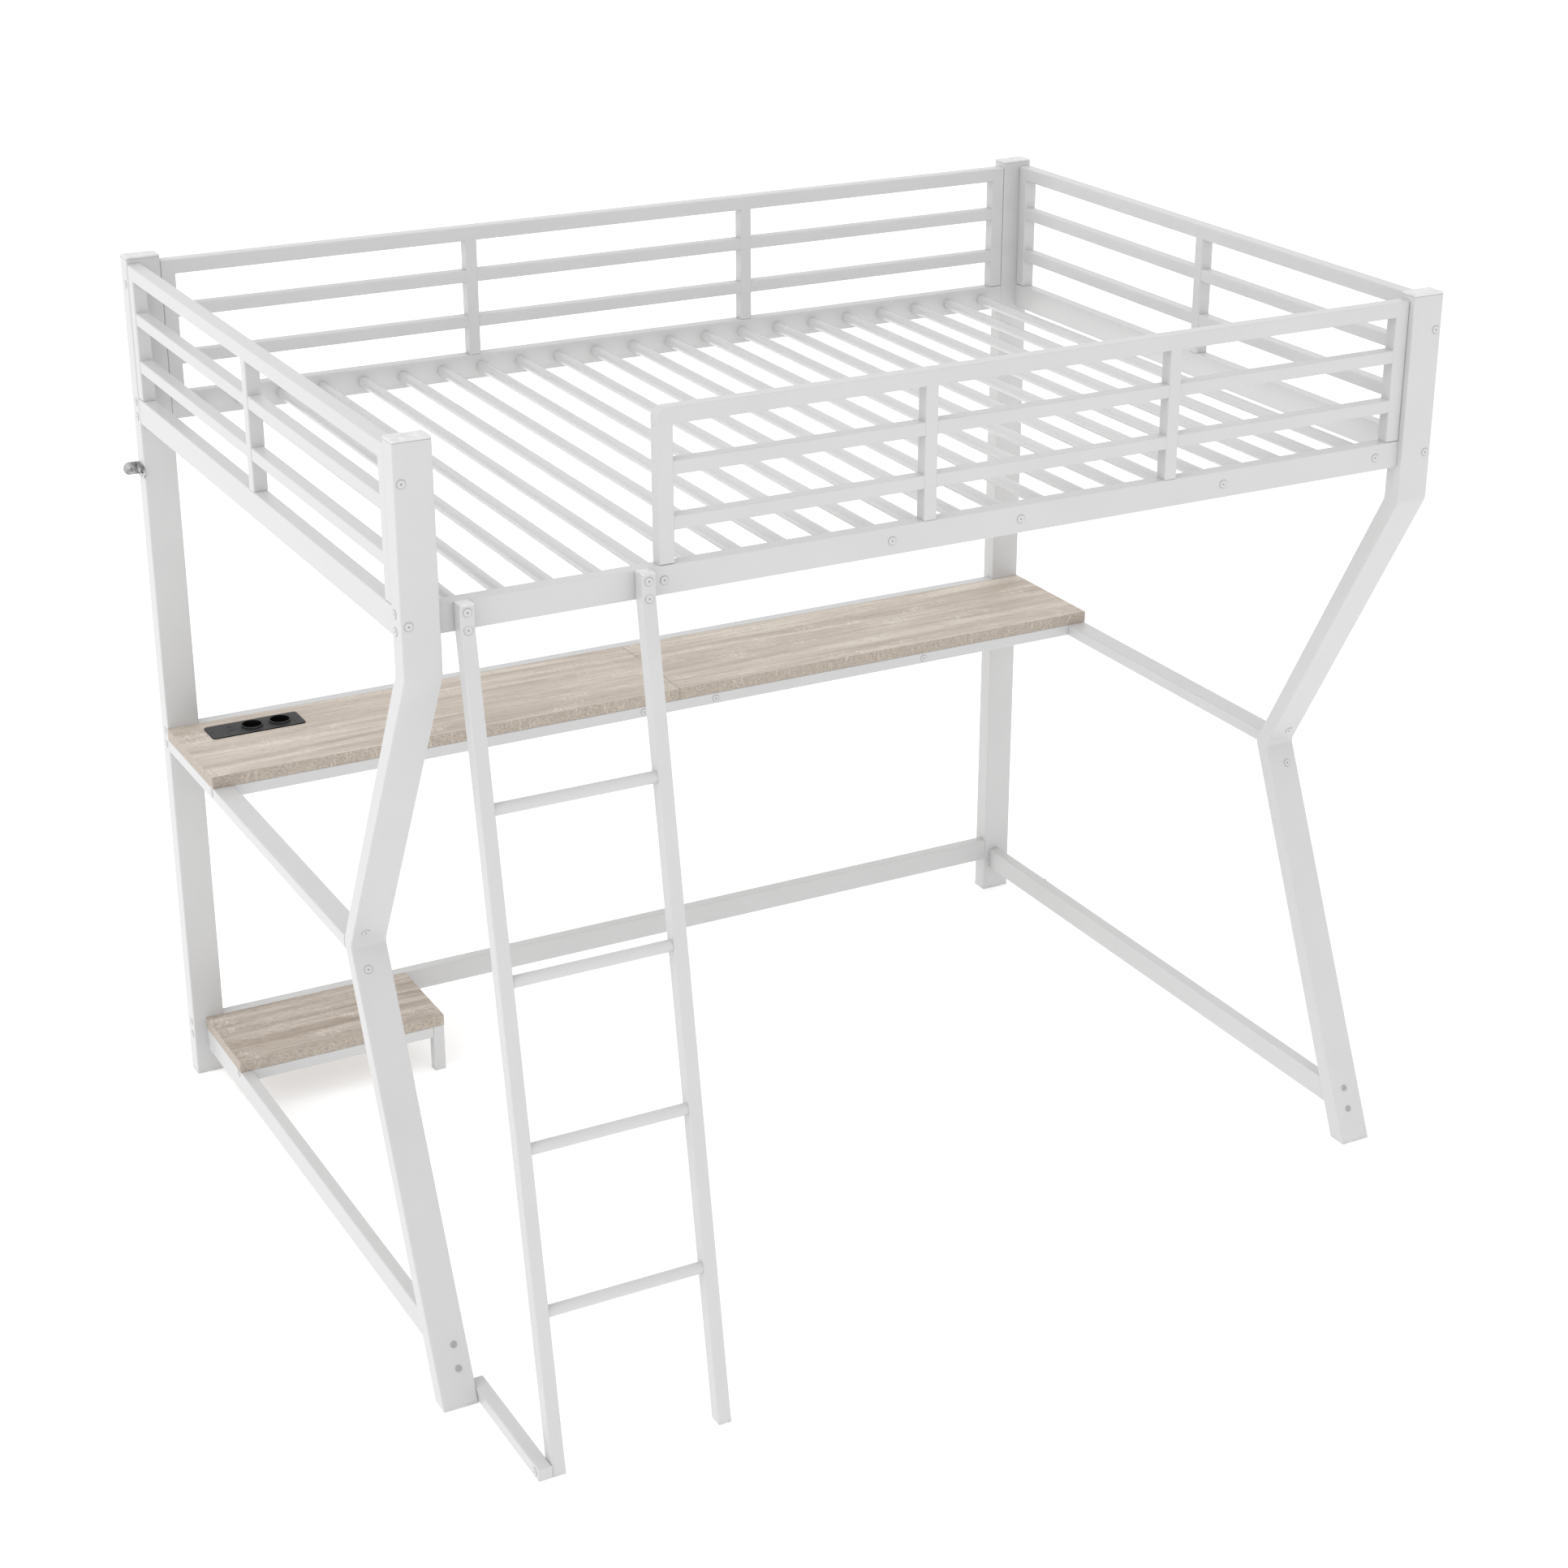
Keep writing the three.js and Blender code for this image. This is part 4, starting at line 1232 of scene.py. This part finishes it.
@dataclass
class LadderCaps:
    """Flat plastic caps on the top ends of the ladder's rails."""

    thickness: float = 2.4 * MM
    proud: float = 0.3 * MM
    rounding: float = 0.8 * MM
    seat_gap: float = 0.1 * MM

    def build(self) -> None:
        """Build both caps."""
        top = reach_of("ladder", Side.TOP)
        bottom = top + self.seat_gap
        for name, across in ladder_rails().items():
            edge = grown(outline("ladder", top, across), self.proud)
            with new_piece(f"cap_ladder_{name}", Finish.CAP_PLASTIC, Slot.CAPS) as shape:
                pad(shape, edge, bottom, bottom + self.thickness, self.rounding)


@dataclass
class CapShadowLines:
    """Painted shadow line: a dark band under each post cap, for the shade in the gap where its plug goes
    into the tube.
    """

    posts: tuple[str, ...] = ("front_leg_left", "front_leg_right", "rear_post_left", "rear_post_right")
    below: float = 0.8 * MM
    above: float = 0.25 * MM
    proud: float = 0.2 * MM
    sunk: float = 0.05 * MM

    def build(self) -> None:
        """Build the dark band of painted shadow around the top of each post."""
        for post in self.posts:
            top = reach_of(post, Side.TOP)
            heights = (top - self.below, top + self.above)
            with new_piece(f"seam_{post}", Finish.CAP_SEAM, Slot.CAPS) as shape:
                band(shape, outline(post, top), (self.proud, -self.sunk), heights)


@dataclass
class BarPlug:
    """The plastic plug that closes the rear end of the ladder's floor bar."""

    thickness: float = 1.6 * MM
    inset: float = 0.5 * MM
    corner: float = 2.0 * MM
    rounding: float = 0.5 * MM
    seat_gap: float = 0.05 * MM

    def build(self) -> None:
        """Build the plug's flat head from the tube's end outward."""
        low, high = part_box("ladder_floor_bar")
        middle = Vector(((low.x + high.x) / 2, (low.z + high.z) / 2))
        size = (high.x - low.x - 2 * self.inset, high.z - low.z - 2 * self.inset)
        face = rounded(middle, size, self.corner)
        start = high.y + self.seat_gap
        end = start + self.thickness
        levels = [(0.0, start), (0.0, end - self.rounding), (-self.rounding, end)]
        with new_piece("plug_ladder_floor_bar", Finish.FOOT_PLASTIC, Slot.CAPS) as shape:
            loft(shape, [[Vector((p.x, y, p.y)) for p in grown(face, inset)] for inset, y in levels],
                 closed=False)


@dataclass
class BoardJointShadow:
    """Painted shade: a dark line in the butt joint between the two desk boards, for the shadow in the gap.
    """

    overlap: float = 0.35 * MM
    below_face: float = 0.2 * MM

    def build(self) -> None:
        """Build the thin sheet that fills the joint just under the boards' faces."""
        low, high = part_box("desk_board_left")
        inset = self.below_face
        rows = [(low.y + inset, low.z + inset), (high.y - inset, low.z + inset),
                (high.y - inset, high.z - inset), (low.y + inset, high.z - inset)]
        across = (high.x - self.overlap, reach_of("desk_board_right", Side.LEFT) + self.overlap)
        with new_piece("desk_board_seam", Finish.BOARD_SEAM, Slot.BOARDS) as shape:
            loft(shape, [[Vector((x, y, z)) for y, z in rows] for x in across], closed=False)


@dataclass
class SocketStrip:
    """What shows on the power strip's face: module seams, two charging ports, sockets and screws, with
    painted shade in the seams, in the port openings and along the flange.
    """

    flange: float = 2.5 * MM
    corner: float = 7.0 * MM
    flange_shade_proud: float = 0.6 * MM
    flange_shade_height: float = 1.5 * MM
    seam_places: tuple[float, ...] = (37.8, 59.9, 65.6, 120.9, 127.0, 181.3)
    seam_width: float = 1.8 * MM
    seam_margin: float = 5.0 * MM
    seam_corner: float = 0.81 * MM
    seam_steps: int = 2
    line_proud: float = 0.06 * MM
    port_place: float = 49.0 * MM
    port_rows: Span = (13.2 * MM, -5.6 * MM)
    port_size: Span = (15.6 * MM, 8.2 * MM)
    port_opening: Span = (13.4 * MM, 6.0 * MM)
    port_lip: float = 0.5 * MM
    port_shoulder: float = 0.3 * MM
    port_chamfer: float = 0.5 * MM
    port_corner: float = 0.8 * MM
    port_shade_height: float = 0.2 * MM
    port_shade_corner: float = 0.7 * MM
    screw_inset: float = 6.9 * MM
    socket_centres: Span = (93.5 * MM, 154.0 * MM)
    well_radius: float = 21.0 * MM
    well_depth: float = 14.0 * MM
    well_gap: float = 0.15 * MM
    floor_gap: float = 0.2 * MM
    rim_height: float = 4.0 * MM
    rim_drop: float = 1.2 * MM
    liner_wall: float = 0.8 * MM
    pin_spacing: float = 19.0 * MM
    pin_radius: float = 2.5 * MM
    pin_taper: float = 0.9
    collar_base: float = 0.9 * MM
    collar_top: float = 0.6 * MM
    collar_height: float = 0.5 * MM
    collar_floor: float = 0.1 * MM
    collar_sink: float = 0.05 * MM
    collar_steps: int = 20
    steps: int = 56

    def build(self) -> None:
        """Build the strip's small pieces."""
        self._seam_shades()
        self._port_lips()
        self._port_opening_shades()
        self._liners()
        self._screws()
        self._flange_shade()

    def _origin(self) -> Vector:
        """The strip's left end, middle depth, on the top of its flange."""
        top = reach_of("desk_board_left", Side.TOP) + self.flange
        return Vector((reach_of("power_strip", Side.LEFT), centre_of("power_strip").y, top))

    def _flange_shade(self) -> None:
        """Build a dark band along the bottom of the strip's flange: painted shade on its lower side wall."""
        low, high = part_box("power_strip")
        bottom = self._origin().z - self.flange
        edge = rounded(centre_of("power_strip").to_2d(), (high.x - low.x, high.y - low.y), self.corner)
        with new_piece("strip_gasket", Finish.WELL, Slot.SOCKETS) as shape:
            band(shape, edge, (self.flange_shade_proud, -self.line_proud), (bottom, bottom + self.flange_shade_height))

    def _seam_shades(self) -> None:
        """Build the fine dark seams between the modules, one thin dark inlay for each: painted shade in the
        seams.
        """
        low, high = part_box("power_strip")
        origin = self._origin()
        size = (self.seam_width, high.y - low.y - 2 * self.seam_margin)
        with new_piece("strip_module_seams", Finish.WELL, Slot.SOCKETS) as shape:
            for place in self.seam_places:
                middle = Vector((origin.x + place * MM, origin.y))
                bar = rounded(middle, size, self.seam_corner, self.seam_steps)
                pad(shape, bar, origin.z - self.line_proud, origin.z + self.line_proud, self.line_proud / 2)

    def _port_centres(self) -> list[Vector]:
        """The middles of the charging ports, in the XY plane."""
        origin = self._origin()
        return [Vector((origin.x + self.port_place, origin.y + row)) for row in self.port_rows]

    def _port_lips(self) -> None:
        """Build the raised lip around each charging port."""
        top = self._origin().z
        wide, deep = self.port_size
        chamfered = (wide - self.port_chamfer, deep - self.port_chamfer)
        ring = [(self.port_size, 0.0), (self.port_size, self.port_shoulder), (chamfered, self.port_lip),
                (self.port_opening, self.port_lip), (self.port_opening, 0.0)]
        with new_piece("strip_port_lips", Finish.PORT_LIP, Slot.SOCKETS) as shape:
            for centre in self._port_centres():
                loft(shape, [raised(rounded(centre, size, self.port_corner), top + z) for size, z in ring],
                     closed=True)

    def _port_opening_shades(self) -> None:
        """Build a flat dark pad in each charging port's opening: painted shade for the port's depth."""
        top = self._origin().z
        with new_piece("strip_port_openings", Finish.WELL, Slot.SOCKETS) as shape:
            for centre in self._port_centres():
                floor = rounded(centre, self.port_opening, self.port_shade_corner)
                pad(shape, floor, top - self.line_proud, top + self.port_shade_height, self.line_proud)

    def _liners(self) -> None:
        """Build the dark cups inside the two sockets, with their pin collars."""
        wall = self.liner_wall
        outer = self.well_radius - self.well_gap
        inner = outer - wall
        floor = self.floor_gap - self.well_depth
        lip = self.rim_height - self.rim_drop
        cup = [(0.0, floor), (outer, floor), (outer, lip), (inner, lip), (inner, floor + 2 * wall),
               (inner - wall, floor + wall), (0.0, floor + wall)]
        pin = self.pin_radius
        collar = [(0.0, 0.0), (pin + self.collar_base, 0.0), (pin + self.collar_top, self.collar_height),
                  (pin, self.collar_height), (pin * self.pin_taper, self.collar_floor),
                  (0.0, self.collar_floor)]
        with new_piece("strip_socket_liners", Finish.WELL, Slot.SOCKETS) as shape:
            for place in self.socket_centres:
                centre = self._origin() + Vector((place, 0.0, 0.0))
                turn_profile(shape, cup, Matrix.Translation(centre), self.steps)
                for sign in (-1.0, 1.0):
                    offset = Vector((sign * self.pin_spacing / 2, 0.0, floor + wall - self.collar_sink))
                    turn_profile(shape, collar, Matrix.Translation(centre + offset), self.collar_steps)

    def _screws(self) -> None:
        """Build the small screws at both ends of the strip."""
        origin = self._origin()
        low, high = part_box("power_strip")
        heads = BoltHeads(Finish.SCREW, Slot.SOCKETS, diameter=5.6 * MM, height=0.35 * MM,
                          rounding=0.15 * MM, recess_width=2.2 * MM, recess_depth=0.3 * MM,
                          groove_width=0.2 * MM, groove_depth=0.1 * MM, groove_inset=0.7 * MM)
        across = (low.x + self.screw_inset, high.x - self.screw_inset)
        heads.build("strip_end_screws", [Side.TOP.at(x, origin.y, origin.z) for x in across])


@dataclass
class BracketFixings:
    """The plated bolt that holds the bracket to the post, and its wall screw with a washer."""

    thickness: float = 2.5 * MM
    bolt_from_wall: float = 17.0 * MM
    screw_from_post: float = 18.0 * MM
    washer_radius: float = 7.0 * MM
    washer_thickness: float = 1.0 * MM
    washer_chamfer: float = 0.3 * MM
    head_radius: float = 4.6 * MM
    head_height: float = 2.4 * MM
    recess_radius: float = 1.7 * MM
    recess_taper: float = 0.6
    recess_depth: float = 1.3 * MM
    dome_steps: int = 5
    steps: int = 40

    def build(self) -> None:
        """Build the bolt and the screw."""
        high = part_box("wall_bracket")[1]
        middle = centre_of("wall_bracket").z
        bolt = Vector((high.x - self.thickness, high.y - self.bolt_from_wall, middle))
        screw = Vector((high.x - self.screw_from_post, high.y - self.thickness, middle))
        for name, point, side in (("bracket_post_bolt", bolt, Side.LEFT),
                                  ("bracket_wall_screw", screw, Side.FRONT)):
            with new_piece(name, Finish.PLATING, Slot.BRACKET) as shape:
                turn_profile(shape, self._profile(), facing(point, side.vector), self.steps)

    def _profile(self) -> list[Span]:
        """The outline of the washer, the dome and the driver recess.

        Returns:
            Radius and height pairs.
        """
        base = self.washer_thickness
        top = base + self.head_height
        washer = [(0.0, 0.0), (self.washer_radius, 0.0), (self.washer_radius, base - self.washer_chamfer),
                  (self.washer_radius - self.washer_chamfer, base), (self.head_radius, base)]
        dome = []
        for step in range(1, self.dome_steps):
            angle = math.pi / 2 * step / self.dome_steps
            radius = self.recess_radius + (self.head_radius - self.recess_radius) * math.cos(angle)
            dome.append((radius, base + self.head_height * math.sin(angle)))
        bottom = top - self.recess_depth
        recess = [(self.recess_radius, top), (self.recess_radius * self.recess_taper, bottom), (0.0, bottom)]
        return washer + dome + recess


# ---- studio


@dataclass
class Studio:
    """Plain white studio: a light-table floor, a large key light from the left and a soft front fill."""

    lens: float = 67.086
    sensor: float = 36.0
    camera_place: Triple = (-2.5470, -4.7393, 3.0878)
    azimuth: float = -28.1278
    elevation: float = 23.1025
    view_reach: float = 200.0
    floor_size: float = 60.0
    world_strength: float = 1.0
    key_strength: float = 0.78
    key_spread: float = 50.0
    key_from: Triple = (-0.88, -0.12, 0.97)
    fill_strength: float = 0.10
    fill_spread: float = 90.0
    fill_from: Triple = (0.1, -1.0, 0.1)

    def build(self) -> None:
        """Build the floor, the lights, the world and the camera."""
        self._floor()
        self._world()
        self._lamp("key_light", self.key_strength, self.key_spread, self.key_from)
        self._lamp("fill_light", self.fill_strength, self.fill_spread, self.fill_from)
        self._camera()

    def _floor(self) -> None:
        """Lay the studio floor."""
        half = self.floor_size / 2
        mesh = bpy.data.meshes.new("studio_floor")
        corners = [(-half, -half, 0.0), (half, -half, 0.0), (half, half, 0.0), (-half, half, 0.0)]
        mesh.from_pydata(corners, [], [(0, 1, 2, 3)])
        mesh.materials.append(StudioFloor().build())
        floor = bpy.data.objects.new("studio_floor", mesh)
        bpy.context.scene.collection.objects.link(floor)

    def _world(self) -> None:
        """Fill the room with even white light."""
        world = bpy.data.worlds.new("studio_world")
        bpy.context.scene.world = world
        world.use_nodes = True
        background = world.node_tree.nodes["Background"]
        background.inputs["Color"].default_value = grey(FULL_LEVEL)
        background.inputs["Strength"].default_value = self.world_strength

    @staticmethod
    def _lamp(name: str, strength: float, spread: float, source: Triple) -> None:
        """Hang one wide, far light, so its edge shadows stay soft.

        Args:
            name: The light's name.
            strength: How bright it is.
            spread: How wide it looks, in degrees.
            source: The direction it comes from.
        """
        data = bpy.data.lights.new(name, "SUN")
        data.energy = strength
        data.angle = math.radians(spread)
        lamp = bpy.data.objects.new(name, data)
        lamp.rotation_euler = Vector(source).to_track_quat("Z", "Y").to_euler()
        bpy.context.scene.collection.objects.link(lamp)

    def _camera(self) -> None:
        """Set the camera that looks along the bed from the front left and above."""
        scene = bpy.context.scene
        data = bpy.data.cameras.new("studio_camera")
        data.lens = self.lens
        data.sensor_width = self.sensor
        data.clip_end = self.view_reach
        camera = bpy.data.objects.new("studio_camera", data)
        camera.location = self.camera_place
        tilt = math.pi / 2 - math.radians(self.elevation)
        camera.rotation_euler = (tilt, 0.0, math.radians(self.azimuth))
        scene.collection.objects.link(camera)
        scene.camera = camera
        scene.view_settings.view_transform = "Standard"


# ---- the CAD frame


@dataclass
class SteelFrame:
    """The carried-over CAD nodes, each dressed with the finish of its slot."""

    frame: dict
    smooth_angle: float = 32.0
    edge_radius: float = 0.6 * MM
    edge_steps: int = 2
    seed_step: float = 3.7

    def dress(self) -> None:
        """Give each node its finish and smooth its rounded corners."""
        slots = {part["node"]: Slot(part["material_slot"]) for part in self.frame["record"]["subparts"]}
        plain = {Slot.FRAME: Finish.PAINT, Slot.SLATS: Finish.SLAT_PAINT, Slot.CAPS: Finish.CAP_PLASTIC,
                 Slot.BRACKET: Finish.PLATING, Slot.SOCKETS: Finish.PLATE}
        boards = 0
        for name, node in sorted(self.frame["nodes"].items()):
            slot = slots[name]
            if slot is Slot.BOARDS:
                boards += 1
                material = self._oak(name, f"oak_laminate_{boards}", self.seed_step * boards).build()
            else:
                material = plain[slot].material()
            if slot in (Slot.BOARDS, Slot.CAPS):
                self._soften(node)
            node.data.materials.clear()
            node.data.materials.append(material)
            node.data.shade_smooth()
            node.data.set_sharp_from_angle(angle=math.radians(self.smooth_angle))
            LOG.info("dressed %s in %s", name, material.name)

    @staticmethod
    def _oak(node: str, name: str, seed: float) -> OakLaminate:
        """The oak print of one board: the shelf's sheet is darker and more striped than the desk's.

        Args:
            node: The board's node.
            name: The material's name.
            seed: The board's own place in the print.

        Returns:
            The finish.
        """
        if node.startswith("desk"):
            return OakLaminate(name, seed)
        return OakLaminate(name, seed, pale=(206.0, 196.0, 185.0), middle=(184.0, 172.0, 160.0),
                           dark=(146.0, 131.0, 117.0), line=(122.0, 106.0, 92.0), band_contrast=0.12,
                           line_strength=0.8)

    def _soften(self, node: bpy.types.Object) -> None:
        """Round a node's edges a little.

        Args:
            node: The board or the cap.
        """
        bevel = node.modifiers.new("edge", "BEVEL")
        bevel.width = self.edge_radius
        bevel.segments = self.edge_steps
        bevel.limit_method = "ANGLE"


def main() -> None:
    """Load the frame, dress it, add the fittings and set up the studio."""
    logging.basicConfig(level=logging.INFO, format="%(message)s")
    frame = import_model()
    SteelFrame(frame).dress()
    for assembly in (Fastenings(), FootSleeves(), LadderCaps(), CapShadowLines(), BoardJointShadow(), BarPlug(),
                     SocketStrip(), BracketFixings(), Studio()):
        assembly.build()


if __name__ == "__main__":
    main()
